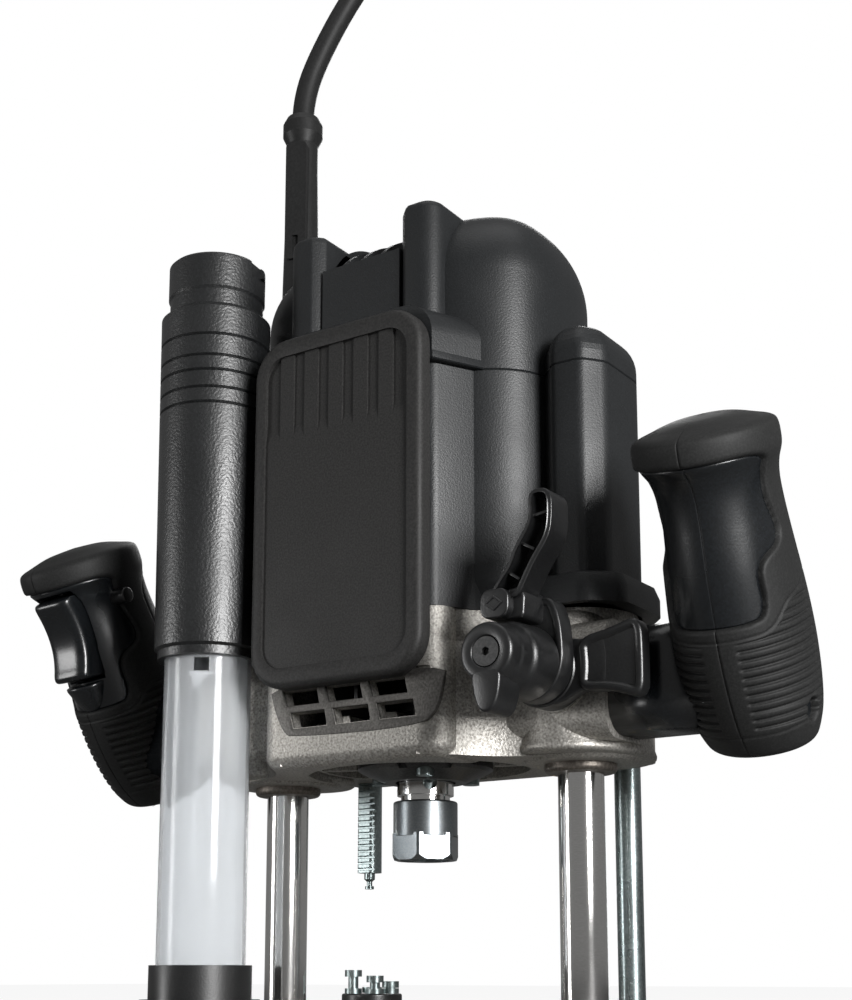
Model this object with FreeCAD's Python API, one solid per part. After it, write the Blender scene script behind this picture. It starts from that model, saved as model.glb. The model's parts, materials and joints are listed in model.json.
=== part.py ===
"""Two-handle plunge router with twin columns, dust column, turret depth stop and mains lead.

Millimetres. +Z is up, X runs along the line of the two columns and -Y is the front.
The origin is on the spindle axis, on the underside of the sole plate.
"""
import math
import os

import FreeCAD
import Part

V = FreeCAD.Vector
X_AXIS = V(1, 0, 0)
Y_AXIS = V(0, 1, 0)
Z_AXIS = V(0, 0, 1)
SIDES = (("left", -1), ("right", 1))

# ---- clearances -------------------------------------------------------------
RUN_FIT = 0.06          # radial running clearance of shafts, columns and pivots
GAP = 0.3               # between faces of pieces that move past each other

# ---- sole plate and base ----------------------------------------------------
BASE_R = 92.0           # round part of the base outline
BASE_FLAT_Y = 78.0      # half distance between the front and rear flats
SOLE_T = 8.0
BASE_T = 18.0
BASE_INSET = 1.0
GUIDE_BORE_R = 30.0     # guide bush register in the sole plate
CUTTER_R = 33.0         # opening in the casting above it
SOLE_EDGE_R = 1.5
BASE_TOP = SOLE_T + BASE_T
SOLE_SCREW_PCD = 150.0
SOLE_SCREW_R = 2.5
SOLE_SCREW_HEAD_R = 4.6
SOLE_SCREW_HEAD_H = 2.8
SOLE_SCREW_Z0 = 0.6
SOLE_SCREW_SOCKET_R = 1.6

# ---- fence rods -------------------------------------------------------------
FENCE_ROD_R = 4.0
FENCE_ROD_Y = 70.0
FENCE_ROD_Z = 17.0
FENCE_SCREW_R = 3.0
FENCE_KNOB_R = 8.0
FENCE_KNOB_T = 9.0
FENCE_KNOB_LOBES = 6
SOLE_SCREW_TOP = FENCE_ROD_Z - FENCE_ROD_R - 0.6

# ---- columns and return springs ---------------------------------------------
COLUMN_R = 8.0
COLUMN_SPACING = 129.0
COLUMN_X = COLUMN_SPACING / 2
COLUMN_FOOT = SOLE_T + 3.0
COLUMN_TOP = 192.0
COLUMN_BORE_R = 5.4
COLUMN_FLOOR = 46.0
SPRING_R = 4.9
SPRING_WIRE = 1.1

# ---- carriage casting -------------------------------------------------------
BUSH_BOTTOM = 106.0     # lower face of the column bushes, carriage raised
BUSH_FLANGE_R = 12.6
BUSH_FLANGE_T = 5.0
BUSH_R = 11.0
BUSH_L = 48.0
CASTING_Z0 = BUSH_BOTTOM + BUSH_FLANGE_T - 2.0
CASTING_TOP = 160.0
BOSS_R = 21.0
FRONT_Y = -50.0
FRONT_HALF = 39.0
ARM_X = 88.0
ARM_Z0 = 114.0
ARM_Y0 = -27.0
ARM_Y1 = 8.0
MOTOR_BORE_R = 41.0
FLOOR_T = 12.0
BEARING_SEAT_R = 17.5

# ---- motor housing ----------------------------------------------------------
CAN_R = 48.0
CAN_Y = 6.0
CAN_BACK_Y = 62.0
CAN_BACK_R = 20.0
WALL = 3.0
BLOCK_HALF = 35.5
SEAM_Z = 246.0
TOWER_R = 16.6
TOWER_X = 70.0
TOWER_TOP = 262.5
TOWER_BORE_R = 9.5
TOWER_ROUND = 8.5
SKIRT_H = 10.0
SKIRT_OUT = 4.5

# ---- top cap ----------------------------------------------------------------
CAP_TOP = 317.0
CAP_ROUND = 13.0
HOOD_OUT = 2.2
HOOD_TOP = 268.0
BAR_HALF = 24.0
BAR_H = 4.0
UPRIGHT_IN = 17.3
UPRIGHT_OUT = 33.5
UPRIGHT_Y0 = -45.0
UPRIGHT_TOP = 312.0
UPRIGHT_CHAMFER = 4.0
UPRIGHT_ROUND = 7.0
UPRIGHT_EASE = 2.5
GRILLE_SILL_Z = 295.5
GRILLE_FIN_T = 2.2
GRILLE_FINS = 3
GRILLE_BACK_Y = -2.0

# ---- front cover ------------------------------------------------------------
COVER_T = 5.0
COVER_Z0 = 136.0
COVER_Z1 = 265.0
COVER_R = 14.0
COVER_RIM = 3.6
PANEL_T = 1.4
COVER_RIBS = 10
RIB_BOTTOM_Z = 226.0
RIB_DEPTH = 0.7

# ---- base -------------------------------------------------------------------
SPOUT_X = -63.0
SPOUT_Y = -50.0
TUBE_R = 15.9
TUBE_WALL = 1.5
SPOUT_H = 15.0
SPOUT_SEAT = 6.0
SPOUT_WALL = 2.4
DUCT_R = 13.5
DUCT_H = 8.0
STOP_X = -57.5          # depth rod axis
STOP_Y = 45.0
LIFT_X = 60.0           # threaded rod axis
LIFT_Y = 45.0
LIFT_R = 4.9
LIFT_TOP = 205.0
LIFT_FOOT = 10.0
TURRET_R = 12.0
TURRET_T = 4.0
TURRET_PCD = 15.0
TURRET_PIVOT_R = 3.0
TURRET_PIVOT_H = 8.0
TURRET_SCREW_R = 2.0
TURRET_HEAD_R = 3.4
TURRET_HEAD_H = 2.6
TURRET_STEP = 2.2       # from one screw head to the next lower one
TURRET_CX = STOP_X + TURRET_PCD / 2 * math.cos(math.radians(-45))
TURRET_CY = STOP_Y + TURRET_PCD / 2 * math.sin(math.radians(-45))
FENCE_SCREW_X = 35.0
TOWER_ROOF = 8.0
SLEEVE_Z0 = 151.0
SLEEVE_Z1 = 304.7
SLEEVE_R0 = 19.7
SLEEVE_R1 = 20.8
SLEEVE_RIM_R = 18.3
NECK_Z = 283.7
NECK_H = 6.5
NECK_DEPTH = 3.0
TUBE_TOP = 289.7
GROOVE_ZS = (244.7, 250.5, 257.2, 262.9, 271.1)
GROOVE_DEPTH = 0.8
GROOVE_W = 1.2
TUBE_SLOT_W = 5.6
TUBE_SLOT_Z = 147.5
TUBE_SLOT_H = 5.0
TUBE_SLOT_TURN = 33.0
LIFT_NUT_R = 9.0
LIFT_NUT_H = 10.0

# ---- carriage casting -------------------------------------------------------
LUG_TOP = 150.0
LUG_R = 10.5
SEAT_Z = 115.0          # where the bearing cap seats
FLOOR_Z = SEAT_Z + FLOOR_T
BELL_R = 43.0
RIM_R = 40.5            # thin ring that stands down from the underside
RIM_Z0 = 112.5
ANNULUS_R = 27.0
PIN_X = 70.0            # axis of the lever group
PIN_Z = 136.0
PIN_R = 3.5
PIN_BOSS_R = 13.0
PIN_BOSS_Y = -28.0
KNOB_SHAFT_Y = STOP_Y - 11.0
KNOB_SHAFT_Z = 134.0
KNOB_SHAFT_R = 3.0
VENT_Z = 136.6
VENT_ROWS = 2
VENT_COLS = 3
ROD_R = 4.9
ROD_Z0 = 78.6
ROD_TOP = 235.0
ROD_FLAT = 2.6
RACK_PITCH = 2.42
RACK_DEPTH = 1.5
PINION_R = STOP_Y - KNOB_SHAFT_Y - ROD_FLAT - RACK_DEPTH - GAP
TIP_R = 2.2
TIP_H = 6.6
PLUNGE_STROKE = 32.0    # until the tip stands just over the tallest turret screw
TURRET_TALLEST = ROD_Z0 - TIP_H - PLUNGE_STROKE - 0.5

# ---- spindle and motor ------------------------------------------------------
SPINDLE_R = 10.4
SPINDLE_NECK_R = 9.0
SPINDLE_Z0 = 88.0
NUT_Z0 = 78.6
NUT_HEX_H = 8.6
NUT_TOP = 100.0
NUT_R = 11.8
NUT_AF = 22.0
NUT_TURN = -39.0
COLLET_BORE_R = 6.35
COLLET_R = 9.0
COLLET_TOP = 112.0
TOMMY_R = 2.6
TOMMY_Z = 106.3
SHAFT_R = 8.0
UPPER_SEAT_Z = 262.0
UPPER_BEARING_R = 13.0
UPPER_SHAFT_R = 5.0
CAP_R = 25.0
CAP_H = 8.0
CAP_SCREW_R = 1.5
CAP_SCREW_L = 10.0
CAP_SCREW_HEAD_R = 3.1
CAP_SCREW_HEAD_H = 4.6
CAP_SCREW_PCD = 2 * (BEARING_SEAT_R + CAP_SCREW_R + 0.6)
LOWER_BEARING_T = FLOOR_T
UPPER_BEARING_T = 9.0
SHAFT_TOP = UPPER_SEAT_Z + UPPER_BEARING_T
STATOR_Z0 = 172.0
STATOR_Z1 = 228.0
ARMATURE_R = 28.0
STATOR_BORE_R = ARMATURE_R + 0.6
COMMUTATOR_R = 15.0
FAN_R = 36.0
FAN_Z = 132.0
FAN_BLADES = 9

# ---- motor housing ----------------------------------------------------------
HOUSING_BORE_R = 42.0
BRUSH_Z = 237.0
BRUSH_R = 6.5

# ---- handles ----------------------------------------------------------------
HANDLE_X = 130.0
HANDLE_Y = 0.0
HANDLE_Z = 109.0
HANDLE_RAKE = 26.0
HANDLE_SPLAY = 2.8
STEM_X = HANDLE_X - 12.0
STEM_IN = 8.0
SPIGOT_R = 9.0
SPIGOT_Z = 131.0
GRIP_T = 1.6
GRIP_TOP = 59.0
GRIP_GROOVES = 10
GRIP_GROOVE_Z = 6.0
GRIP_GROOVE_PITCH = 3.6
GRIP_GROOVE_W = 1.2
GRIP_GROOVE_DEPTH = 0.8
# height along the handle, half width, half depth, set-back of the middle
HANDLE_SECTIONS = (
    (0.0, 16.0, 15.0, 4.0),
    (10.0, 19.0, 20.0, 3.0),
    (32.0, 20.5, 24.5, 1.5),
    (55.0, 19.5, 24.0, 0.5),
    (74.0, 18.2, 22.0, 0.0),
    (90.0, 18.0, 21.5, -0.5),
)
CAP_NECK_Z = 90.0
CAP_NECK_A = 17.6
CAP_NECK_B = 21.2
CAP_A = 21.5
CAP_B = 25.8
CAP_Y = -3.6
# rise above the neck and inset from the full rim
CAP_STAGES = ((4.0, 1.2), (7.5, 0.0), (11.5, 0.9), (15.5, 4.0), (18.5, 9.0), (20.0, 15.0))
TRIGGER_W = 19.0
TRIGGER_Z0 = 58.0
TRIGGER_Z1 = 91.0
TRIGGER_BACK = -8.0
TRIGGER_EASE = 3.0
TRIGGER_REACH = 22.0    # from its back plane to the toe of its foot
TRIGGER_SWING = 7.0
PIVOT_Y = -17.0
PIVOT_Z = 86.5
PIVOT_R = 1.5
LOCK_R = 3.4
LOCK_REACH = 19.5        # from the grip's middle to the button's face
LOCK_Y = -7.0
LOCK_Z = 86.5
LOCK_L = 9.5
LOCK_BORE_X = -30.0
LOCK_BORE_L = 23.0

# ---- lever group at the right front -----------------------------------------
LOCK_Y0 = -37.0
LOCK_Y1 = PIN_BOSS_Y - GAP
SELECT_Y1 = LOCK_Y0 - GAP
SELECT_Y0 = -46.0
ARM_FRONT_Y = -59.0
KNOB_Y1 = SELECT_Y0 - GAP
KNOB_Y0 = -72.0
KNOB_FACE_R = 9.0
KNOB_REAR_R = 12.4
PIN_HEAD_R = 4.7
HUB_R = 12.6
WING_T = 4.8
WING_DISH_DEPTH = 0.8
# outlines of the lever group, across and up from the pin
WING_OUTLINE = (
    (-4, -12), (6.5, -12), (14, -7.5), (21, -7), (28, -9.5), (33, -11), (35, -4),
    (35, 5), (33, 11), (28, 11.5), (21, 10), (14, 10), (6, 10),
)
WING_DISH = ((18, -4), (29.5, -7.5), (32, 0), (29.5, 8), (18, 6))
LEVER_OUTLINE = (
    (-7, 20.5), (-2.5, 26.5), (0.9, 30.4), (2.8, 35.4), (7.5, 42), (8.7, 46), (8.2, 50),
    (12, 53.9), (16.6, 51.5), (16.8, 43), (15.6, 37), (11, 31), (7.5, 25), (4, 18.5),
)
LEVER_CORE = (
    (-2.8, 23.4), (0.5, 27.4), (2.8, 31.0), (4.8, 36), (9.1, 42), (10.2, 46), (10, 50),
    (12.5, 52), (14.9, 50.5), (15, 43.5), (13.6, 38), (8.8, 31.6), (5.4, 26.5), (2, 22),
)
LEVER_CORE_DEPTH = 7.0
POINTER_OUTLINE = ((-5.5, -6), (-4.4, -14), (-2, -19), (2.2, -19), (4.6, -14), (5.2, -6), (0, -3))
POINTER_T = 13.0
LEVER_BACK_Y = -48.0
LEVER_RIBS = ((3.5, 28.5, 35), (8.0, 36.0, 30), (12.0, 44.5, 0))   # x, z, turn of each cross rib

# ---- small parts ------------------------------------------------------------
DIAL_R = 11.0
DIAL_NOTCHES = 18
DIAL_NOTCH_R = 0.8
DIAL_T = 6.0
DIAL_PIN_R = 2.0
DIAL_Z = 285.0
DIAL_Y = 53.5
BRUSH_CAP_R = 8.0
BRUSH_CAP_T = 1.6
GUARD_X = -57.3
GUARD_Y = -6.0
GUARD_Z0 = 275.0
GUARD_TOP = 388.0
GUARD_R = 7.3
GUARD_TIP_R = 8.2
GUARD_FOOT_R = 6.4
GUARD_RIB_W = 8.8
GUARD_RIB_TURN = 20.0
CORD_R = 4.5

# ---- mains lead -------------------------------------------------------------
CORD_ROUTE = (
    (GUARD_X, GUARD_Y, GUARD_TOP),
    (GUARD_X, GUARD_Y, GUARD_TOP + 8),
    (-53.5, -3.2, 414.0),
    (-41.0, 6.5, 448.0),
    (-20.0, 20.0, 484.0),
    (20.0, 41.0, 509.0),
    (68.0, 64.0, 513.0),
    (112.0, 84.0, 492.0),
    (144.0, 97.0, 452.0),
    (158.0, 104.0, 394.0),
    (160.0, 104.0, 318.0),
    (153.0, 101.0, 228.0),
    (144.0, 101.0, 146.0),
    (136.0, 104.5, 88.0),
    (134.0, 105.0, 47.2),
    (134.0, 113.1, 27.6),
    (134.0, 128.1, 12.6),
    (134.0, 147.7, 4.5),
    (134.0, 168.5, 4.5),
)
COIL_X = 70.5
COIL_Y = 168.5
COIL_TURN_R = 63.5
COIL_ACROSS = 4
COIL_LAYERS = 2
TIE_ANGLE = 150.0
TIE_W = 9.0
PLUG_W = 36.0
PLUG_L = 40.0
PLUG_H = 24.0
PLUG_NECK_L = 16.0
PLUG_PIN_R = 2.4
PLUG_PIN_L = 19.0
PLUG_PIN_ROOT = 6.0
PLUG_PIN_SPACING = 19.0
PLUG_ANGLE = 135.0      # where on the coil the lead leaves for the plug


def box(x0, x1, y0, y1, z0, z1):
    return Part.makeBox(x1 - x0, y1 - y0, z1 - z0, V(x0, y0, z0))


def cyl(r, h, at, axis=Z_AXIS):
    return Part.makeCylinder(r, h, V(*at), axis)


def cone(r0, r1, h, at, axis=Z_AXIS):
    return Part.makeCone(r0, r1, h, V(*at), axis)


def polygon(points):
    return Part.Face(Part.makePolygon([V(*p) for p in points + [points[0]]]))


def along(shape, axis):
    """Edges of a shape that run along an axis."""
    picked = []
    for e in shape.Edges:
        if isinstance(e.Curve, Part.Line) and abs(e.Curve.Direction.dot(axis)) > 0.999:
            picked.append(e)
    return picked


def edges_at(shape, z, tol=0.05):
    """Edges that lie wholly in the level z."""
    return [e for e in shape.Edges if abs(e.BoundBox.ZMin - z) < tol and abs(e.BoundBox.ZMax - z) < tol]


def rounded_box(x0, x1, y0, y1, z0, z1, r, axis=Z_AXIS):
    """Box with its edges along one axis rounded."""
    b = box(x0, x1, y0, y1, z0, z1)
    return b.makeFillet(r, along(b, axis))


def export(shape, node):
    if not shape.isValid():
        shape.fix(0.01, 0.01, 0.01)
    shape.exportStep("parts/%s.step" % node)
    print("%-24s solids %d faces %d" % (node, len(shape.Solids), len(shape.Faces)))


# ---- base -------------------------------------------------------------------


def base_outline(inset, z, t):
    """Disc with two parallel flats, front and rear."""
    disc = cyl(BASE_R - inset, t, (0, 0, z))
    flat = BASE_FLAT_Y - inset
    return disc.common(box(-BASE_R, BASE_R, -flat, flat, z, z + t))


def sole_screw_places():
    r = SOLE_SCREW_PCD / 2
    return [(r * math.cos(math.radians(a)), r * math.sin(math.radians(a))) for a in (90, 210, 330)]


def sole_plate():
    plate = base_outline(0, 0, SOLE_T)
    plate = plate.makeFillet(SOLE_EDGE_R, edges_at(plate, 0))
    plate = plate.cut(cyl(GUIDE_BORE_R, SOLE_T, (0, 0, 0)))
    for x, y in sole_screw_places():
        plate = plate.cut(cyl(SOLE_SCREW_R, SOLE_T, (x, y, 0)))
        plate = plate.cut(cyl(SOLE_SCREW_HEAD_R, SOLE_SCREW_HEAD_H + 0.6, (x, y, 0)))
    return plate


def sole_screws():
    made = []
    for x, y in sole_screw_places():
        s = cyl(SOLE_SCREW_HEAD_R, SOLE_SCREW_HEAD_H, (x, y, SOLE_SCREW_Z0))
        s = s.fuse(cyl(SOLE_SCREW_R, SOLE_SCREW_TOP - SOLE_SCREW_Z0, (x, y, SOLE_SCREW_Z0)))
        made.append(s.cut(cyl(SOLE_SCREW_SOCKET_R, SOLE_SCREW_SOCKET_R, (x, y, SOLE_SCREW_Z0))))
    return Part.makeCompound(made)


def fence_screw_places():
    return (("front", -1), ("rear", 1))


def base_casting():
    z0 = SOLE_T
    plate = base_outline(BASE_INSET, z0, BASE_T)
    plate = plate.makeFillet(2.5, edges_at(plate, BASE_TOP))
    recess = cyl(BASE_R - 18, 5, (0, 0, BASE_TOP - 5)).common(
        box(-BASE_R, BASE_R, -BASE_FLAT_Y + 18, BASE_FLAT_Y - 18, 0, BASE_TOP))
    recess = recess.cut(cyl(CUTTER_R + 6, BASE_TOP, (0, 0, 0)))
    for _, s in SIDES:
        recess = recess.cut(cyl(COLUMN_R + 8, BASE_TOP, (s * COLUMN_X, 0, 0)))
        recess = recess.cut(box(min(s * 20, s * BASE_R), max(s * 20, s * BASE_R), -4, 4, 0, BASE_TOP))
    recess = recess.cut(cyl(TURRET_R + 3, BASE_TOP, (TURRET_CX, TURRET_CY, 0)))
    recess = recess.cut(cyl(LIFT_R + 8, BASE_TOP, (LIFT_X, LIFT_Y, 0)))
    recess = recess.cut(cyl(TUBE_R + 8, BASE_TOP, (SPOUT_X, SPOUT_Y, 0)))
    plate = plate.cut(recess)
    plate = plate.cut(cyl(CUTTER_R, BASE_T, (0, 0, z0)))
    for _, s in SIDES:
        plate = plate.cut(cyl(COLUMN_R, BASE_T, (s * COLUMN_X, 0, COLUMN_FOOT)))
    plate = plate.cut(cyl(DUCT_R, BASE_T, (SPOUT_X, SPOUT_Y, z0)))
    run = math.hypot(SPOUT_X, SPOUT_Y)
    duct = box(0, run, -DUCT_R + 3, DUCT_R - 3, z0, z0 + DUCT_H)
    duct.rotate(V(0, 0, 0), Z_AXIS, math.degrees(math.atan2(SPOUT_Y, SPOUT_X)))
    plate = plate.cut(duct)
    plate = plate.cut(cyl(LIFT_R, BASE_T, (LIFT_X, LIFT_Y, LIFT_FOOT)))
    plate = plate.cut(cyl(TURRET_PIVOT_R, BASE_T, (TURRET_CX, TURRET_CY, BASE_TOP - TURRET_PIVOT_H)))
    for _, s in fence_screw_places():
        plate = plate.cut(cyl(FENCE_ROD_R, 2 * BASE_R, (-BASE_R, s * FENCE_ROD_Y, FENCE_ROD_Z), X_AXIS))
        length = BASE_FLAT_Y - FENCE_ROD_Y
        start = min(s * FENCE_ROD_Y, s * (FENCE_ROD_Y + length))
        plate = plate.cut(cyl(FENCE_SCREW_R + RUN_FIT, length, (FENCE_SCREW_X, start, FENCE_ROD_Z), Y_AXIS))
    for x, y in sole_screw_places():
        plate = plate.cut(cyl(SOLE_SCREW_R, SOLE_SCREW_TOP - z0, (x, y, z0)))
    return plate


def lobed_knob(r, t, lobes, depth):
    """Round knob with scalloped rim, axis +Z from z = 0."""
    knob = cyl(r, t, (0, 0, 0))
    knob = knob.makeFillet(min(1.2, t / 4), edges_at(knob, t))
    for i in range(lobes):
        a = 2 * math.pi * i / lobes
        reach = r + depth
        knob = knob.cut(cyl(depth * 2, t, (reach * math.cos(a), reach * math.sin(a), 0)))
    return knob


def fence_screw(s):
    shank = FENCE_ROD_Y + FENCE_ROD_R + GAP
    knob = lobed_knob(FENCE_KNOB_R, FENCE_KNOB_T, FENCE_KNOB_LOBES, 1.4)
    knob.translate(V(0, 0, BASE_FLAT_Y + 1.5))
    screw = knob.fuse(cyl(FENCE_SCREW_R, BASE_FLAT_Y + 2 - shank, (0, 0, shank)))
    screw.rotate(V(0, 0, 0), X_AXIS, -90 * s)
    screw.translate(V(FENCE_SCREW_X, 0, FENCE_ROD_Z))
    return screw


def column(s):
    c = cyl(COLUMN_R, COLUMN_TOP - COLUMN_FOOT, (s * COLUMN_X, 0, COLUMN_FOOT))
    c = c.makeChamfer(1.0, edges_at(c, COLUMN_TOP))
    return c.cut(cyl(COLUMN_BORE_R, COLUMN_TOP, (s * COLUMN_X, 0, COLUMN_FLOOR)))


def spring_sleeve(s):
    """Return spring as its envelope tube, from the column's floor to the tower's roof."""
    top = TOWER_TOP - TOWER_ROOF
    tube = cyl(SPRING_R, top - COLUMN_FLOOR, (s * COLUMN_X, 0, COLUMN_FLOOR))
    return tube.cut(cyl(SPRING_R - SPRING_WIRE, top, (s * COLUMN_X, 0, COLUMN_FLOOR)))


def extraction_spout():
    z = BASE_TOP
    s = cyl(TUBE_R + SPOUT_WALL + 3, 3, (0, 0, z))
    s = s.fuse(cyl(TUBE_R + SPOUT_WALL, SPOUT_H, (0, 0, z)))
    s = s.fuse(cyl(DUCT_R, 6, (0, 0, z - 6)))
    s = s.cut(cyl(DUCT_R - 2, SPOUT_H + 12, (0, 0, z - 8)))
    s = s.cut(cyl(TUBE_R, SPOUT_H, (0, 0, z + SPOUT_SEAT)))
    s.translate(V(SPOUT_X, SPOUT_Y, 0))
    return s


def extraction_tube():
    z0 = BASE_TOP + SPOUT_SEAT
    t = cyl(TUBE_R, TUBE_TOP - z0, (0, 0, z0))
    t = t.cut(cyl(TUBE_R - TUBE_WALL, TUBE_TOP, (0, 0, z0)))
    low = TUBE_SLOT_Z - TUBE_SLOT_H / 2
    slot = box(-TUBE_SLOT_W / 2, TUBE_SLOT_W / 2, -TUBE_R - 1, 0, low, low + TUBE_SLOT_H)
    slot.rotate(V(0, 0, 0), Z_AXIS, TUBE_SLOT_TURN)
    t = t.cut(slot)
    t.translate(V(SPOUT_X, SPOUT_Y, 0))
    return t


def sleeve_radius(z):
    return SLEEVE_R0 + (SLEEVE_R1 - SLEEVE_R0) * (z - SLEEVE_Z0) / (SLEEVE_Z1 - SLEEVE_Z0)


def hose_adaptor():
    inner = TUBE_R + RUN_FIT
    foot = sleeve_radius(SLEEVE_Z0)
    lip = foot - 1.2
    pts = [(inner, SLEEVE_Z0), (lip, SLEEVE_Z0), (lip, SLEEVE_Z0 + 3), (foot, SLEEVE_Z0 + 4)]
    for z in GROOVE_ZS:
        r = sleeve_radius(z)
        pts += [(r, z - GROOVE_W / 2), (r - GROOVE_DEPTH, z), (r, z + GROOVE_W / 2)]
    pts += [(sleeve_radius(NECK_Z), NECK_Z - 1.5), (sleeve_radius(NECK_Z) - NECK_DEPTH, NECK_Z + 1)]
    pts += [(sleeve_radius(NECK_Z) - NECK_DEPTH, NECK_Z + NECK_H), (SLEEVE_RIM_R, NECK_Z + NECK_H + 1)]
    pts += [(SLEEVE_RIM_R, SLEEVE_Z1 - 1), (SLEEVE_RIM_R - 1, SLEEVE_Z1), (inner - 2, SLEEVE_Z1)]
    pts += [(inner - 2, TUBE_TOP + GAP), (inner, TUBE_TOP + GAP)]
    face = polygon([(r, 0, z) for r, z in pts])
    sleeve = face.revolve(V(0, 0, 0), Z_AXIS, 360)
    for a in (0, 180):
        notch = box(SLEEVE_RIM_R - 2.2, SLEEVE_RIM_R + 2, -4.5, 4.5, SLEEVE_Z1 - 7, SLEEVE_Z1)
        notch = notch.fuse(box(SLEEVE_RIM_R - 2.2, SLEEVE_RIM_R + 2, -4.5, 10, SLEEVE_Z1 - 7, SLEEVE_Z1 - 4))
        notch.rotate(V(0, 0, 0), Z_AXIS, a + 10)
        sleeve = sleeve.cut(notch)
    sleeve.translate(V(SPOUT_X, SPOUT_Y, 0))
    return sleeve


def turret():
    t = cyl(TURRET_R, TURRET_T, (0, 0, BASE_TOP + GAP))
    t = t.makeFillet(0.8, edges_at(t, BASE_TOP + GAP + TURRET_T))
    t = t.cut(cyl(TURRET_PIVOT_R + RUN_FIT, TURRET_T + 1, (0, 0, BASE_TOP)))
    for i in range(3):
        x, y = turret_station(i)
        t = t.cut(cyl(TURRET_SCREW_R, TURRET_T + 1, (x, y, BASE_TOP)))
    t.translate(V(TURRET_CX, TURRET_CY, 0))
    return t


def turret_station(i):
    """Four stations a quarter turn apart; the bare one, at 135 degrees, is under the depth rod."""
    a = math.radians(135 + 90 * (i + 1))
    return TURRET_PCD / 2 * math.cos(a), TURRET_PCD / 2 * math.sin(a)


def turret_screw(i):
    x, y = turret_station(i)
    z0 = BASE_TOP + GAP
    top = TURRET_TALLEST - i * TURRET_STEP
    s = cyl(TURRET_SCREW_R, top - z0, (x, y, z0))
    head = cyl(TURRET_HEAD_R, TURRET_HEAD_H, (x, y, top - TURRET_HEAD_H))
    s = s.fuse(head)
    s = s.fuse(cyl(TURRET_HEAD_R, 2, (x, y, z0 + TURRET_T)))
    s.translate(V(TURRET_CX, TURRET_CY, 0))
    return s


def turret_pivot():
    z0 = BASE_TOP - TURRET_PIVOT_H
    top = BASE_TOP + GAP + TURRET_T + GAP
    p = cyl(TURRET_PIVOT_R, top - z0, (0, 0, z0)).fuse(cyl(3.9, 2.2, (0, 0, top)))
    p.translate(V(TURRET_CX, TURRET_CY, 0))
    return p


def lift_rod():
    r = cyl(LIFT_R, LIFT_TOP - LIFT_FOOT, (LIFT_X, LIFT_Y, LIFT_FOOT))
    return r.makeChamfer(1.0, edges_at(r, LIFT_TOP))


def lift_nut():
    n = lobed_knob(LIFT_NUT_R, LIFT_NUT_H, 10, 0.8)
    n = n.cut(cyl(LIFT_R + RUN_FIT, LIFT_NUT_H, (0, 0, 0)))
    n.translate(V(LIFT_X, LIFT_Y, LUG_TOP + GAP))
    return n


# ---- carriage casting -------------------------------------------------------


def can_outline(grow):
    """Plan of the motor can: round in front, square-shouldered behind."""
    r = CAN_R + grow
    back = CAN_BACK_Y + grow
    corner = CAN_BACK_R + grow
    cx = r - corner
    cy = back - corner
    k = math.sqrt(0.5)
    front = Part.Arc(V(r, CAN_Y, 0), V(0, CAN_Y - r, 0), V(-r, CAN_Y, 0))
    left = Part.LineSegment(V(-r, CAN_Y, 0), V(-r, cy, 0))
    arc_l = Part.Arc(V(-r, cy, 0), V(-cx - corner * k, cy + corner * k, 0), V(-cx, back, 0))
    rear = Part.LineSegment(V(-cx, back, 0), V(cx, back, 0))
    arc_r = Part.Arc(V(cx, back, 0), V(cx + corner * k, cy + corner * k, 0), V(r, cy, 0))
    right = Part.LineSegment(V(r, cy, 0), V(r, CAN_Y, 0))
    edges = [e.toShape() for e in (front, left, arc_l, rear, arc_r, right)]
    return Part.Face(Part.Wire(edges))


def can_prism(grow, z0, z1):
    p = can_outline(grow).extrude(V(0, 0, z1 - z0))
    p.translate(V(0, 0, z0))
    return p


def shoulder_web(s, z0, z1):
    """Swept shoulder that runs from the front block to a column boss."""
    a = V(s * (FRONT_HALF - 10), FRONT_Y + 1, 0)
    b = V(s * FRONT_HALF, FRONT_Y + 10, 0)
    c = V(s * (FRONT_HALF + 8), -30, 0)
    d = V(s * (COLUMN_X + 2), -BOSS_R, 0)
    edges = [
        Part.LineSegment(a, b).toShape(),
        Part.Arc(b, c, d).toShape(),
        Part.LineSegment(d, V(s * (COLUMN_X + 2), 0, 0)).toShape(),
        Part.LineSegment(V(s * (COLUMN_X + 2), 0, 0), V(0, 0, 0)).toShape(),
        Part.LineSegment(V(0, 0, 0), a).toShape(),
    ]
    p = Part.Face(Part.Wire(edges)).extrude(V(0, 0, z1 - z0))
    p.translate(V(0, 0, z0))
    return p


def vent_slots():
    """Two rows of slanted slots under the cover, each row shifted to the right of the one above."""
    made = []
    w = 15.0
    h = 5.6
    for row in range(VENT_ROWS):
        z = VENT_Z - row * 8.2
        for col in range(VENT_COLS):
            x = -27.5 + row * 3.5 + col * (w + 3.6)
            pts = [(x, -60, z), (x + 1.6, -60, z - h), (x + w + 1.2, -60, z - h), (x + w, -60, z)]
            made.append(polygon(pts).extrude(V(0, 40, 0)))
    return made


def vent_recess():
    top = VENT_Z + 3
    foot = VENT_Z - 13
    pts = [(-30.5, -60, top), (-22, -60, foot), (37, -60, foot), (36, -60, top)]
    r = polygon(pts).extrude(V(0, 11.2, 0))
    return r.makeFillet(3.0, along(r, Y_AXIS))


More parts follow.
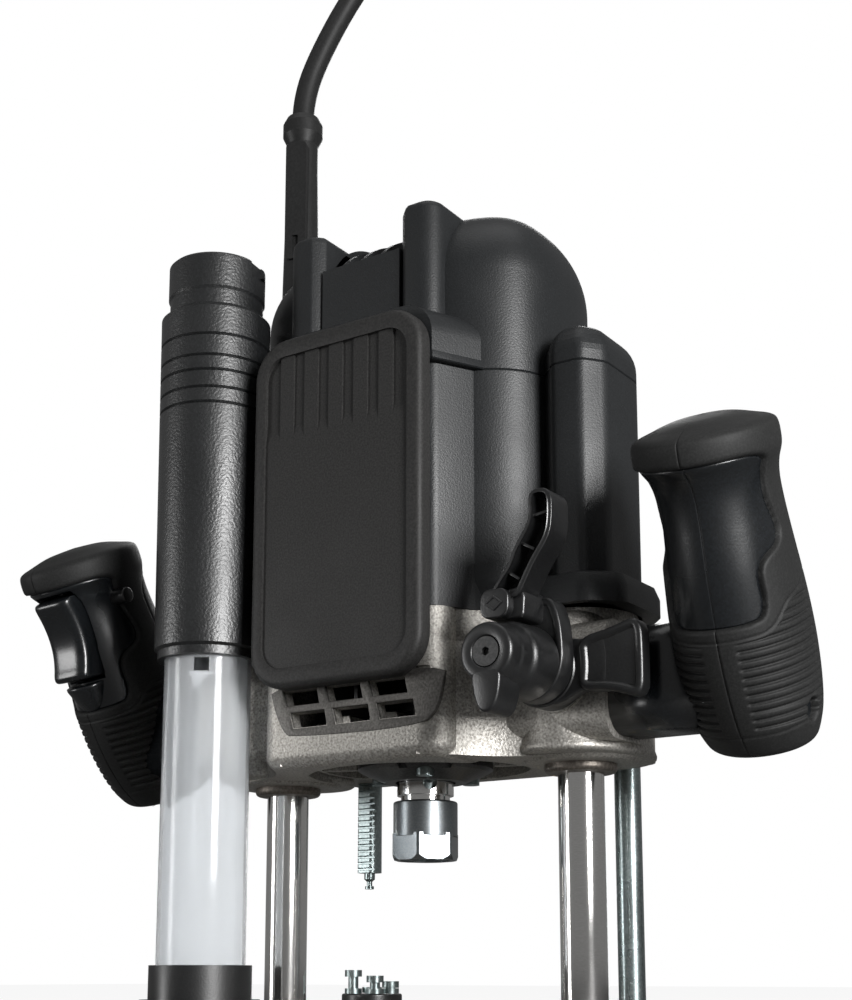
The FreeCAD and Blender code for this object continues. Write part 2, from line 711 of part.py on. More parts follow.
def carriage_casting():
    z0 = CASTING_Z0
    z1 = CASTING_TOP
    block = rounded_box(-FRONT_HALF, FRONT_HALF, FRONT_Y, 10, z0, z1, 9)
    block = block.makeFillet(5.0, edges_at(block, z0))
    body = block.fuse(can_prism(1.0, SEAT_Z, z1))
    for _, s in SIDES:
        boss = cyl(BOSS_R, z1 - z0, (s * COLUMN_X, 0, z0))
        boss = boss.makeFillet(3.0, edges_at(boss, z0))
        arm = rounded_box(min(0, s * ARM_X), max(0, s * ARM_X), ARM_Y0, ARM_Y1, ARM_Z0, z1 - 6, 8, X_AXIS)
        body = body.fuse(boss).fuse(arm).fuse(shoulder_web(s, z0 + 1, z1))
    lug = rounded_box(STOP_X - LUG_R, -30, KNOB_SHAFT_Y - 7, STOP_Y + LUG_R, SEAT_Z, LUG_TOP, 4)
    body = body.fuse(lug)
    lug = cyl(LUG_R, LUG_TOP - SEAT_Z, (LIFT_X, LIFT_Y, SEAT_Z)).fuse(
        box(30, LIFT_X, LIFT_Y - LUG_R, LIFT_Y + LUG_R - 2, SEAT_Z, LUG_TOP))
    body = body.fuse(lug)
    body = body.fuse(cyl(PIN_BOSS_R, -PIN_BOSS_Y, (PIN_X, PIN_BOSS_Y, PIN_Z), Y_AXIS))
    body = body.removeSplitter()
    body = body.cut(cyl(MOTOR_BORE_R, z1, (0, 0, FLOOR_Z)))
    inner = box(-FRONT_HALF + 5, FRONT_HALF - 5, FRONT_Y + 5, 0, 119, z1)
    body = body.cut(inner.cut(cyl(MOTOR_BORE_R, 20, (0, 0, 110))))
    body = body.cut(cyl(BEARING_SEAT_R, FLOOR_T + 2, (0, 0, SEAT_Z - 1)))
    body = body.cut(cyl(BELL_R, SEAT_Z - z0, (0, 0, z0)))
    annulus = cyl(RIM_R - 1.6, 5, (0, 0, SEAT_Z)).cut(cyl(ANNULUS_R, 5, (0, 0, SEAT_Z)))
    body = body.cut(annulus)
    rim = cyl(RIM_R, SEAT_Z - RIM_Z0, (0, 0, RIM_Z0)).cut(cyl(RIM_R - 1.6, SEAT_Z, (0, 0, RIM_Z0)))
    body = body.fuse(rim)
    for a in (20, 160, 200, 340):
        rib = box(ANNULUS_R - 1, RIM_R, -1.5, 1.5, RIM_Z0, SEAT_Z + 5)
        rib.rotate(V(0, 0, 0), Z_AXIS, a)
        body = body.fuse(rib)
    body = body.cut(vent_recess())
    for slot in vent_slots():
        body = body.cut(slot)
    for _, s in SIDES:
        x = s * COLUMN_X
        body = body.cut(cyl(BUSH_R, BUSH_L, (x, 0, z0)))
        body = body.cut(cyl(COLUMN_R + 2, z1, (x, 0, z0)))
        body = body.cut(stem_spigot(s))
    body = body.cut(cyl(ROD_R + RUN_FIT, z1, (STOP_X, STOP_Y, z0)))
    shaft = cyl(KNOB_SHAFT_R + RUN_FIT, 60, (STOP_X - LUG_R, KNOB_SHAFT_Y, KNOB_SHAFT_Z), X_AXIS)
    body = body.cut(shaft.common(box(STOP_X - LUG_R, STOP_X + 8, 0, 90, 0, 200)))
    pinion = cyl(PINION_R + GAP, 10.6, (STOP_X - 5.3, KNOB_SHAFT_Y, KNOB_SHAFT_Z), X_AXIS)
    body = body.cut(pinion)
    body = body.cut(cyl(LIFT_R + 0.7, z1, (LIFT_X, LIFT_Y, z0)))
    body = body.cut(cyl(PIN_R, 14, (PIN_X, PIN_BOSS_Y, PIN_Z), Y_AXIS))
    for x, y in cap_screw_places():
        body = body.cut(cyl(CAP_SCREW_R, CAP_SCREW_L - 2, (x, y, SEAT_Z)))
    return body


def bush(s):
    z = BUSH_BOTTOM
    b = cyl(BUSH_FLANGE_R, BUSH_FLANGE_T, (0, 0, z))
    b = b.makeFillet(1.5, edges_at(b, z))
    seat = CASTING_Z0
    b = b.cut(cyl(BUSH_FLANGE_R + 1, 10, (0, 0, seat)))
    b = b.fuse(cyl(BUSH_R, BUSH_L, (0, 0, seat)))
    b = b.cut(cyl(COLUMN_R + RUN_FIT, BUSH_L + 10, (0, 0, z)))
    b.translate(V(s * COLUMN_X, 0, 0))
    return b


def depth_rod():
    """Round bar with a rack cut into a flat on its front side and a slim screwed tip."""
    rod = cyl(ROD_R, ROD_TOP - ROD_Z0, (0, 0, ROD_Z0))
    rod = rod.makeChamfer(0.6, edges_at(rod, ROD_TOP))
    rack_top = ROD_TOP - 12
    rod = rod.cut(box(-ROD_R, ROD_R, -ROD_R, -ROD_FLAT - RACK_DEPTH, ROD_Z0 - 1, rack_top))
    teeth = int((rack_top - ROD_Z0) / RACK_PITCH)
    profile = []
    for i in range(teeth):
        z = ROD_Z0 + RACK_PITCH * (i + 0.25)
        profile.append(polygon([
            (-ROD_R, -ROD_R, z), (-ROD_R, -ROD_FLAT, z + RACK_PITCH * 0.2),
            (-ROD_R, -ROD_FLAT, z + RACK_PITCH * 0.45), (-ROD_R, -ROD_R, z + RACK_PITCH * 0.65),
        ]).extrude(V(2 * ROD_R, 0, 0)))
    rod = rod.cut(Part.makeCompound(profile))
    rod.translate(V(STOP_X, STOP_Y, 0))
    return rod


def depth_tip():
    z = ROD_Z0
    tip = cyl(TIP_R, 2.6, (0, 0, z - 2.6)).fuse(cone(1.1, TIP_R, 1.0, (0, 0, z - 3.6)))
    tip = tip.fuse(cyl(1.1, TIP_H - 3.6, (0, 0, z - TIP_H)))
    tip = tip.fuse(cyl(1.8, 1.2, (0, 0, z - TIP_H)))
    tip.translate(V(STOP_X, STOP_Y, 0))
    return tip


def depth_knob():
    """Pinion knob for the rack rod, on the left of its lug."""
    x0 = STOP_X - LUG_R - GAP
    knob = lobed_knob(11, 12, 8, 1.6)
    knob.rotate(V(0, 0, 0), Y_AXIS, -90)
    knob.translate(V(x0, 0, 0))
    knob = knob.fuse(cyl(KNOB_SHAFT_R, STOP_X + 8 - GAP - x0, (x0, 0, 0), X_AXIS))
    knob = knob.fuse(cyl(PINION_R, 10, (STOP_X - 5, 0, 0), X_AXIS))
    knob.translate(V(0, KNOB_SHAFT_Y, KNOB_SHAFT_Z))
    return knob


# ---- spindle and motor ------------------------------------------------------


def cap_screw_places():
    r = CAP_SCREW_PCD / 2
    return [(r * math.cos(math.radians(a)), r * math.sin(math.radians(a))) for a in (-57, 63, 183)]


def spindle():
    s = cyl(SPINDLE_R, SEAT_Z - GAP - SPINDLE_Z0, (0, 0, SPINDLE_Z0))
    s = s.cut(cyl(SPINDLE_R + 1, 2.2, (0, 0, NUT_TOP)).cut(cyl(SPINDLE_NECK_R, 2.2, (0, 0, NUT_TOP))))
    s = s.fuse(cyl(SHAFT_R, UPPER_SEAT_Z - GAP - COLLET_TOP, (0, 0, COLLET_TOP)))
    s = s.fuse(cyl(UPPER_SHAFT_R, SHAFT_TOP - UPPER_SEAT_Z + 2, (0, 0, UPPER_SEAT_Z - 2)))
    s = s.cut(cone(COLLET_R - 0.4, COLLET_BORE_R + 0.4, COLLET_TOP - SPINDLE_Z0, (0, 0, SPINDLE_Z0)))
    for a in (-17, 73):
        pin = cyl(TOMMY_R, 2 * SPINDLE_R + 2, (-SPINDLE_R - 1, 0, TOMMY_Z), X_AXIS)
        pin.rotate(V(0, 0, 0), Z_AXIS, a - 30)
        s = s.cut(pin)
    return s


def hexagon(af, z, h, turn):
    r = af / math.sqrt(3)
    pts = []
    for i in range(6):
        a = math.radians(turn + 30 + 60 * i)
        pts.append((r * math.cos(a), r * math.sin(a), z))
    return polygon(pts).extrude(V(0, 0, h))


def collet_nut():
    hexa = hexagon(NUT_AF, NUT_Z0, NUT_HEX_H + 1, NUT_TURN)
    trim = cone(NUT_R - 0.4, NUT_R + 0.6, 1.6, (0, 0, NUT_Z0)).fuse(
        cyl(NUT_R + 0.6, NUT_HEX_H, (0, 0, NUT_Z0 + 1.6)))
    nut = hexa.common(trim)
    body = cyl(NUT_R, NUT_TOP - NUT_Z0 - NUT_HEX_H, (0, 0, NUT_Z0 + NUT_HEX_H))
    body = body.makeFillet(0.8, edges_at(body, NUT_TOP))
    nut = nut.fuse(body)
    nut = nut.cut(cyl(SPINDLE_R, NUT_TOP, (0, 0, SPINDLE_Z0)))
    return nut.cut(cyl(COLLET_R, SPINDLE_Z0 - NUT_Z0 + 1, (0, 0, NUT_Z0 - 1)))


def collet():
    c = cyl(COLLET_R, SPINDLE_Z0 - NUT_Z0 - 0.5, (0, 0, NUT_Z0 + 0.5))
    c = c.fuse(cone(COLLET_R - 0.4, COLLET_BORE_R + 0.4, COLLET_TOP - SPINDLE_Z0, (0, 0, SPINDLE_Z0)))
    c = c.cut(cyl(COLLET_BORE_R, COLLET_TOP - NUT_Z0 + 1, (0, 0, NUT_Z0 - 0.5)))
    for a in (0, 120, 240):
        slit = box(0, COLLET_R + 1, -0.3, 0.3, NUT_Z0, COLLET_TOP - 6)
        slit.rotate(V(0, 0, 0), Z_AXIS, a)
        c = c.cut(slit)
    return c


def bearing(r, bore, z, t):
    """Sealed ball bearing: two races with a recessed shield between them."""
    b = cyl(r, t, (0, 0, z)).cut(cyl(bore, t, (0, 0, z)))
    w = (r - bore) / 4
    groove = cyl(r - w, 0.6, (0, 0, z)).cut(cyl(bore + w, 0.6, (0, 0, z)))
    b = b.cut(groove)
    groove.translate(V(0, 0, t - 0.6))
    return b.cut(groove)


def lower_bearing():
    return bearing(BEARING_SEAT_R, SHAFT_R + RUN_FIT, SEAT_Z, LOWER_BEARING_T)


def upper_bearing():
    return bearing(UPPER_BEARING_R, UPPER_SHAFT_R + RUN_FIT, UPPER_SEAT_Z, UPPER_BEARING_T)


def bearing_cap():
    bore = SPINDLE_R + 0.8
    top = SEAT_Z
    pts = [(bore, top - CAP_H), (CAP_R * 0.6, top - CAP_H), (CAP_R - 1.5, top - 4.4), (CAP_R, top - 3.4)]
    pts += [(CAP_R, top), (bore, top)]
    cap = polygon([(r, 0, z) for r, z in pts]).revolve(V(0, 0, 0), Z_AXIS, 360)
    for a in (-77, -37, 43, 83, 163, 203):
        notch = box(CAP_R - 3, CAP_R + 1, -1.6, 1.6, top - CAP_H, top - 2)
        notch.rotate(V(0, 0, 0), Z_AXIS, a)
        cap = cap.cut(notch)
    for x, y in cap_screw_places():
        cap = cap.cut(cyl(CAP_SCREW_R, CAP_H + 1, (x, y, top - CAP_H)))
        cap = cap.cut(cyl(CAP_SCREW_HEAD_R + 0.2, CAP_H - 3, (x, y, top - CAP_H)))
    return cap


def cap_screws():
    made = []
    for x, y in cap_screw_places():
        seat = SEAT_Z - 3
        head = cyl(CAP_SCREW_HEAD_R, CAP_SCREW_HEAD_H, (x, y, seat - CAP_SCREW_HEAD_H))
        made.append(cyl(CAP_SCREW_R, CAP_SCREW_L, (x, y, seat)).fuse(head))
    return Part.makeCompound(made)


def stator():
    s = cyl(HOUSING_BORE_R, STATOR_Z1 - STATOR_Z0, (0, 0, STATOR_Z0))
    s = s.cut(cyl(STATOR_BORE_R, STATOR_Z1, (0, 0, STATOR_Z0)))
    for side in (-1, 1):
        near = min(side * 30, side * 60)
        s = s.cut(box(-12, 12, near, near + 30, STATOR_Z0 - 1, STATOR_Z1 + 1))
    return s


def armature():
    a = cyl(ARMATURE_R, STATOR_Z1 - STATOR_Z0 - 6, (0, 0, STATOR_Z0 + 3))
    for i in range(10):
        slot = box(ARMATURE_R - 5, ARMATURE_R + 1, -1.2, 1.2, STATOR_Z0, STATOR_Z1)
        slot.rotate(V(0, 0, 0), Z_AXIS, 36 * i)
        a = a.cut(slot)
    a = a.fuse(cyl(COMMUTATOR_R, 15, (0, 0, BRUSH_Z - 7.5))).fuse(cyl(12, 8, (0, 0, STATOR_Z1 - 4)))
    return a.cut(cyl(SHAFT_R, 200, (0, 0, STATOR_Z0)))


def fan():
    f = cyl(13, 16, (0, 0, FAN_Z)).fuse(cyl(FAN_R, 1.6, (0, 0, FAN_Z + 14.4)))
    for i in range(FAN_BLADES):
        blade = box(11, FAN_R - 1, -0.8, 0.8, FAN_Z, FAN_Z + 15)
        blade.rotate(V(11, 0, 0), Z_AXIS, 25)
        blade.rotate(V(0, 0, 0), Z_AXIS, 360 * i / FAN_BLADES)
        f = f.fuse(blade)
    return f.cut(cyl(SHAFT_R, 30, (0, 0, FAN_Z - 1)))


# ---- motor housing ----------------------------------------------------------


def tower_web(s, z0, z1):
    """Wall that joins a column tower to the can."""
    x = s * TOWER_X
    root = s * CAN_R * 0.6
    return box(min(root, x), max(root, x), -TOWER_R + 6, TOWER_R - 1, z0, z1)


def motor_housing():
    z0 = CASTING_TOP
    z1 = SEAM_Z
    body = can_prism(0, z0, z1)
    body = body.fuse(rounded_box(-BLOCK_HALF, BLOCK_HALF, FRONT_Y, 0, z0, z1, 4))
    for _, s in SIDES:
        body = body.fuse(cyl(TOWER_R, z1 - z0, (s * TOWER_X, 0, z0))).fuse(tower_web(s, z0, z1))
        body = body.fuse(cone(TOWER_R + SKIRT_OUT, TOWER_R, SKIRT_H, (s * TOWER_X, 0, z0)))
    body = body.removeSplitter()
    body = body.cut(cyl(HOUSING_BORE_R, z1, (0, 0, z0)))
    body = body.cut(box(-BLOCK_HALF + WALL, BLOCK_HALF - WALL, FRONT_Y + WALL, -20, z0 - 1, z1 + 1))
    body = body.cut(cyl(BRUSH_R, CAN_BACK_Y - FRONT_Y, (0, FRONT_Y, BRUSH_Z), Y_AXIS))
    for y in (FRONT_Y, CAN_BACK_Y - BRUSH_CAP_T):
        body = body.cut(cyl(BRUSH_CAP_R, BRUSH_CAP_T, (0, y, BRUSH_Z), Y_AXIS))
    for _, s in SIDES:
        body = body.cut(cyl(TOWER_BORE_R, z1, (s * COLUMN_X, 0, z0)))
    return body


def roof_profile(points, arcs, thickness):
    """Closed profile of straight edges with arcs where a middle point is given, extruded."""
    edges = []
    for i, p in enumerate(points):
        q = points[(i + 1) % len(points)]
        if i in arcs:
            edges.append(Part.Arc(p, arcs[i], q).toShape())
        else:
            edges.append(Part.LineSegment(p, q).toShape())
    return Part.Face(Part.Wire(edges)).extrude(thickness)


def arched_block(half, y0, y1, z0, z1, r):
    """Block with its two upper edges rounded."""
    k = r * (1 - math.sqrt(0.5))
    points = [V(-half, y0, z0), V(-half, y0, z1 - r), V(-half + r, y0, z1), V(half - r, y0, z1)]
    points += [V(half, y0, z1 - r), V(half, y0, z0)]
    corners = {1: V(-half + k, y0, z1 - k), 3: V(half - k, y0, z1 - k)}
    return roof_profile(points, corners, V(0, y1 - y0, 0))


def motor_lobe(z0):
    """Top of the can, its upper edge rounded over."""
    lobe = can_prism(0, z0, CAP_TOP)
    return lobe.makeFillet(CAP_ROUND, edges_at(lobe, CAP_TOP))


def upright(s, z0):
    """Post beside the grille: chamfered towards it, rounded on the outer corner, its crown eased."""
    inner = s * UPRIGHT_IN
    outer = s * UPRIGHT_OUT
    y = UPRIGHT_Y0
    c = UPRIGHT_CHAMFER
    plan = [(inner, 0, z0), (inner, y + c, z0), (inner + s * c, y, z0), (outer, y, z0), (outer, 0, z0)]
    post = polygon(plan).extrude(V(0, 0, UPRIGHT_TOP - z0))
    front = [e for e in along(post, Z_AXIS) if abs(e.BoundBox.YMin - y) < 0.01]
    corner = [e for e in front if abs(e.BoundBox.XMin - outer) < 0.01]
    post = post.makeFillet(UPRIGHT_ROUND, corner)
    return post.makeFillet(UPRIGHT_EASE, edges_at(post, UPRIGHT_TOP))


def top_cap():
    z0 = SEAM_Z
    cap = motor_lobe(z0)
    cap = cap.cut(box(-UPRIGHT_OUT, UPRIGHT_OUT, FRONT_Y, 0, HOOD_TOP, CAP_TOP))
    for _, s in SIDES:
        tower = cyl(TOWER_R, TOWER_TOP - z0, (s * TOWER_X, 0, z0))
        tower = tower.makeFillet(TOWER_ROUND, edges_at(tower, TOWER_TOP))
        cap = cap.fuse(tower).fuse(tower_web(s, z0, TOWER_TOP - 6))
    cap = cap.fuse(arched_block(BLOCK_HALF + HOOD_OUT, FRONT_Y - HOOD_OUT, -8, z0, HOOD_TOP, 12))
    cap = cap.fuse(arched_block(BAR_HALF, FRONT_Y + 4, -30, HOOD_TOP - 5, HOOD_TOP + BAR_H, 3))
    for _, s in SIDES:
        cap = cap.fuse(upright(s, z0))
    cap = cap.removeSplitter()
    well = box(-UPRIGHT_IN, UPRIGHT_IN, UPRIGHT_Y0, GRILLE_BACK_Y, HOOD_TOP + BAR_H, CAP_TOP + 5)
    cap = cap.cut(well)
    cap = cap.cut(cyl(HOUSING_BORE_R, UPPER_SEAT_Z - 4 - z0, (0, 0, z0)))
    cap = cap.cut(cyl(UPPER_BEARING_R, UPPER_BEARING_T + 4, (0, 0, UPPER_SEAT_Z - 4)))
    cap = cap.cut(cyl(UPPER_SHAFT_R + 1, 16, (0, 0, UPPER_SEAT_Z)))
    pocket = cyl(DIAL_R + 0.8, DIAL_T + 2 * GAP, (0, DIAL_Y, DIAL_Z - DIAL_T / 2 - GAP))
    cap = cap.cut(pocket.cut(cyl(DIAL_PIN_R, 20, (0, DIAL_Y, DIAL_Z - 10))))
    cap = cap.cut(box(-BLOCK_HALF + WALL, BLOCK_HALF - WALL, FRONT_Y + WALL, -20, z0 - 1, z0 + 8))
    for _, s in SIDES:
        cap = cap.cut(cyl(TOWER_BORE_R, TOWER_TOP - TOWER_ROOF - z0, (s * COLUMN_X, 0, z0)))
    boss = cyl(GUARD_R + 2.4, 20, (GUARD_X, GUARD_Y, GUARD_Z0 - 14))
    cap = cap.fuse(boss)
    cap = cap.cut(cyl(GUARD_FOOT_R, 14, (GUARD_X, GUARD_Y, GUARD_Z0 - 8)))
    return cap


def vent_grille():
    """Sill wall between the uprights with curved fins that rise behind it."""
    x0 = -UPRIGHT_IN
    x1 = UPRIGHT_IN
    z0 = HOOD_TOP + BAR_H
    wall = box(x0, x1, UPRIGHT_Y0 + 2, UPRIGHT_Y0 + 5, z0, GRILLE_SILL_Z)
    floor = box(x0, x1, UPRIGHT_Y0 + 2, GRILLE_BACK_Y, z0, z0 + 2)
    g = wall.fuse(floor)
    r = GRILLE_BACK_Y - UPRIGHT_Y0 - 3
    pitch = (x1 - x0) / (GRILLE_FINS + 1)
    rise = UPRIGHT_TOP - 4 - GRILLE_SILL_Z
    for i in range(GRILLE_FINS):
        x = x0 + pitch * (i + 1)
        a = V(x, UPRIGHT_Y0 + 3, GRILLE_SILL_Z)
        m = V(x, UPRIGHT_Y0 + 3 + r * 0.35, GRILLE_SILL_Z + rise * 0.85)
        b = V(x, GRILLE_BACK_Y, GRILLE_SILL_Z + rise)
        edges = [
            Part.Arc(a, m, b).toShape(),
            Part.LineSegment(b, V(x, GRILLE_BACK_Y, z0)).toShape(),
            Part.LineSegment(V(x, GRILLE_BACK_Y, z0), V(x, UPRIGHT_Y0 + 3, z0)).toShape(),
            Part.LineSegment(V(x, UPRIGHT_Y0 + 3, z0), a).toShape(),
        ]
        fin = Part.Face(Part.Wire(edges)).extrude(V(GRILLE_FIN_T, 0, 0))
        fin.translate(V(-GRILLE_FIN_T / 2, 0, 0))
        g = g.fuse(fin)
    return g.removeSplitter()


def cover_plate(inset, y0, y1, r):
    half = BLOCK_HALF + 1.1 - inset
    return rounded_box(-half, half, y0, y1, COVER_Z0 + inset, COVER_Z1 - inset, r, Y_AXIS)


def front_cover():
    y1 = FRONT_Y - HOOD_OUT
    y0 = y1 - COVER_T
    face_y = y0 - PANEL_T
    plate = cover_plate(0, y0, y1, COVER_R)
    plate = plate.makeFillet(1.6, [e for e in plate.Edges if abs(e.BoundBox.YMax - y0) < 0.01])
    panel = cover_plate(COVER_RIM, face_y, y0 + 1, COVER_R - COVER_RIM)
    panel = panel.makeFillet(0.8, [e for e in panel.Edges if abs(e.BoundBox.YMax - face_y) < 0.01])
    plate = plate.fuse(panel)
    half = BLOCK_HALF - COVER_RIM - 3
    pitch = 2 * half / (COVER_RIBS + 0.5)
    for i in range(COVER_RIBS):
        x = -half + pitch * (i + 0.75)
        top = COVER_Z1 - COVER_RIM - 4 - max(0.0, abs(x) - half + 8) * 0.6
        channel = box(x - pitch * 0.3, x + pitch * 0.3, face_y - 1, face_y + RIB_DEPTH, RIB_BOTTOM_Z, top)
        plate = plate.cut(channel)
    back = cover_plate(2.0, y1 - 1.6, y1, COVER_R - 2)
    lower = box(-40, 40, y1, FRONT_Y, COVER_Z0 + 2, SEAM_Z - 0.4)
    seat = cover_plate(2.0, y1, FRONT_Y, COVER_R - 2).common(lower)
    return plate.fuse(back).fuse(seat)


# ---- handles ----------------------------------------------------------------


def ring(a, b, y, z):
    if a >= b:
        e = Part.Ellipse(V(a, y, z), V(0, y + b, z), V(0, y, z))
    else:
        e = Part.Ellipse(V(0, y + b, z), V(a, y, z), V(0, y, z))
    return Part.Wire([e.toShape()])


def handle_loft(grow):
    return Part.makeLoft([ring(a + grow, b + grow, y, z) for z, a, b, y in HANDLE_SECTIONS], True, False)


def seat_handle(shape, s):
    """From the handle's own frame, +Z up the grip, to its place on one side."""
    if s < 0:
        shape = shape.mirror(V(0, 0, 0), X_AXIS)
    shape.rotate(V(0, 0, 0), X_AXIS, HANDLE_RAKE)
    shape.rotate(V(0, 0, 0), Y_AXIS, s * HANDLE_SPLAY)
    shape.translate(V(s * HANDLE_X, HANDLE_Y, HANDLE_Z))
    return shape


def handle_cap():
    """Mushroom cap: a short flare, a full rim and a domed crown that leans forward."""
    stages = [(CAP_NECK_Z - 1, CAP_NECK_A, CAP_NECK_B, CAP_Y / 2)]
    for rise, inset in CAP_STAGES:
        stages.append((CAP_NECK_Z + rise, CAP_A - inset, CAP_B - inset, CAP_Y))
    return Part.makeLoft([ring(a, b, y, z) for z, a, b, y in stages], True, False)


def stem_spigot(s):
    """Round end of a handle's stem, and the bore that it sits in."""
    x0 = s * (ARM_X - STEM_IN)
    x1 = s * (ARM_X + 1)
    return cyl(SPIGOT_R, abs(x1 - x0), (min(x0, x1), (ARM_Y0 + ARM_Y1) / 2, SPIGOT_Z), X_AXIS)


def handle_stem(s):
    x0 = s * ARM_X
    x1 = s * STEM_X
    x0, x1 = min(x0, x1), max(x0, x1)
    body = rounded_box(x0, x1, ARM_Y0 + 2, ARM_Y1 - 2, ARM_Z0 + 1.5, CASTING_TOP - 9, 7, X_AXIS)
    return body.fuse(stem_spigot(s))


def trigger_lip():
    """Small shelf of the handle that stands out under the trigger."""
    y = TRIGGER_BACK - 19
    z = TRIGGER_Z0
    lip = polygon([(0, y, z), (0, y, z - 2.5), (0, y + 7, z - 9), (0, y + 14, z - 9), (0, y + 14, z)])
    half = TRIGGER_W / 2 - 1
    lip = lip.extrude(V(2 * half, 0, 0))
    lip.translate(V(-half, 0, 0))
    return lip.makeFillet(1.0, [e for e in lip.Edges if e.BoundBox.YMax < y + 0.1])


def handle_body(s):
    h = handle_loft(0).fuse(handle_cap())
    if s < 0:
        slot = box(-TRIGGER_W / 2 - GAP, TRIGGER_W / 2 + GAP, -40, TRIGGER_BACK, TRIGGER_Z0, TRIGGER_Z1)
        pivot = cyl(PIVOT_R, TRIGGER_W + 4, (-TRIGGER_W / 2 - 2, PIVOT_Y, PIVOT_Z), X_AXIS)
        h = h.cut(slot).fuse(trigger_lip()).fuse(pivot)
        h = h.cut(cyl(LOCK_R + RUN_FIT, LOCK_BORE_L, (LOCK_BORE_X, LOCK_Y, LOCK_Z), X_AXIS))
    return seat_handle(h, s).fuse(handle_stem(s))


def handle_grip(s):
    """Soft overmould round the lower grip, with finger grooves across the front."""
    outer = handle_loft(GRIP_T)
    t = GRIP_TOP
    back = CAP_NECK_Z - 2
    edge = [(-40, t - 14), (-4, t - 12), (4, t - 2), (8, t + 6), (12, t + 10), (14, back), (40, back)]
    edge += [(40, CAP_NECK_Z + 50), (-40, CAP_NECK_Z + 50)]
    bends = {1: V(-60, 1.5, t - 9), 3: V(-60, 9, t + 9)}
    wave = roof_profile([V(-60, y, z) for y, z in edge], bends, V(120, 0, 0))
    outer = outer.cut(wave)
    outer = outer.cut(handle_loft(0))
    for i in range(GRIP_GROOVES):
        z = GRIP_GROOVE_Z + i * GRIP_GROOVE_PITCH
        groove = box(-40, 40, -40, -12, z, z + GRIP_GROOVE_W)
        outer = outer.cut(groove.cut(handle_loft(GRIP_T - GRIP_GROOVE_DEPTH)))
    outer = seat_handle(outer, s)
    return outer.cut(handle_stem(s))


def trigger():
    w = TRIGGER_W
    y = TRIGGER_BACK
    toe = PIVOT_Y - (y - TRIGGER_REACH)
    foot = TRIGGER_Z0 + GAP + toe * math.sin(math.radians(TRIGGER_SWING))
    top = TRIGGER_Z1 - 2 * GAP
    back = y - 5
    front = [V(0, y - TRIGGER_REACH, foot), V(0, y - 19.5, foot + 8), V(0, y - 17.5, foot + 17)]
    front += [V(0, y - 18, top - 7), V(0, y - 18, top)]
    curve = Part.BSplineCurve()
    curve.interpolate(front)
    edges = [Part.LineSegment(V(0, back, foot), front[0]).toShape(), curve.toShape()]
    edges.append(Part.LineSegment(front[-1], V(0, back, top)).toShape())
    edges.append(Part.LineSegment(V(0, back, top), V(0, back, foot)).toShape())
    t = Part.Face(Part.Wire(edges)).extrude(V(w, 0, 0))
    t.translate(V(-w / 2, 0, 0))
    heel = [e for e in t.Edges if e.BoundBox.ZMin > top - 0.1 and e.BoundBox.YMin > back - 0.1]
    t = t.makeFillet(TRIGGER_EASE, heel)
    t = t.cut(cyl(PIVOT_R + RUN_FIT, w, (-w / 2, PIVOT_Y, PIVOT_Z), X_AXIS))
    return seat_handle(t, -1)


def lock_button():
    b = cyl(LOCK_R, LOCK_L, (-LOCK_REACH, LOCK_Y, LOCK_Z), X_AXIS)
    b = b.makeFillet(0.6, [e for e in b.Edges if e.BoundBox.XMax < -LOCK_REACH + 0.1])
    return seat_handle(b, -1)


# ---- lever group at the right front -----------------------------------------


def spline_face(points, y):
    curve = Part.BSplineCurve()
    curve.interpolate([V(x, y, z) for x, z in points], PeriodicFlag=True)
    return Part.Face(Part.Wire([curve.toShape()]))


def pin_cut(shape):
    return shape.cut(cyl(PIN_R + RUN_FIT, 60, (PIN_X, -80, PIN_Z), Y_AXIS))


def clamp_lever():
    """Thumb lever of the column clamp: hub ring, swept arm and broad paddle."""
    hub = cyl(HUB_R, LOCK_Y1 - LOCK_Y0, (PIN_X, LOCK_Y0, PIN_Z), Y_AXIS)
    x = PIN_X
    z = PIN_Z
    arm = spline_face([(x + dx, z + dz) for dx, dz in WING_OUTLINE], LOCK_Y0).extrude(V(0, WING_T, 0))
    dish = spline_face([(x + dx, z + dz) for dx, dz in WING_DISH], LOCK_Y0 - 1)
    dish = dish.extrude(V(0, 1 + WING_DISH_DEPTH, 0))
    return pin_cut(hub.fuse(arm).cut(dish))


def select_lever():
    """Cored lever: rear flange on the pin, two eyes above it and a curved open-ribbed arm."""
    flange = cyl(HUB_R, SELECT_Y1 - SELECT_Y0, (PIN_X, SELECT_Y0, PIN_Z), Y_AXIS)
    x = PIN_X
    z = PIN_Z
    body = flange.fuse(cyl(6.0, SELECT_Y1 - SELECT_Y0 + 6, (x + 3.2, SELECT_Y0 - 6, z + 16), Y_AXIS))
    body = body.fuse(cyl(4.6, SELECT_Y1 - ARM_FRONT_Y + 2, (x - 3.3, ARM_FRONT_Y - 2, z + 17.5), Y_AXIS))
    arm = spline_face([(x + dx, z + dz) for dx, dz in LEVER_OUTLINE], ARM_FRONT_Y)
    body = body.fuse(arm.extrude(V(0, LEVER_BACK_Y - ARM_FRONT_Y, 0)))
    pocket = spline_face([(x + dx, z + dz) for dx, dz in LEVER_CORE], ARM_FRONT_Y - 1)
    pocket = pocket.extrude(V(0, 1 + LEVER_CORE_DEPTH, 0))
    for dx, dz, turn in LEVER_RIBS:
        rib = box(-8, 8, ARM_FRONT_Y - 2, ARM_FRONT_Y + 20, -0.6, 0.6)
        rib.rotate(V(0, 0, 0), Y_AXIS, turn)
        rib.translate(V(x + dx, 0, z + dz))
        pocket = pocket.cut(rib)
    body = body.cut(pocket)
    knob_room = cyl(KNOB_REAR_R + GAP, SELECT_Y0 - ARM_FRONT_Y, (PIN_X, ARM_FRONT_Y, PIN_Z), Y_AXIS)
    return pin_cut(body.cut(knob_room))


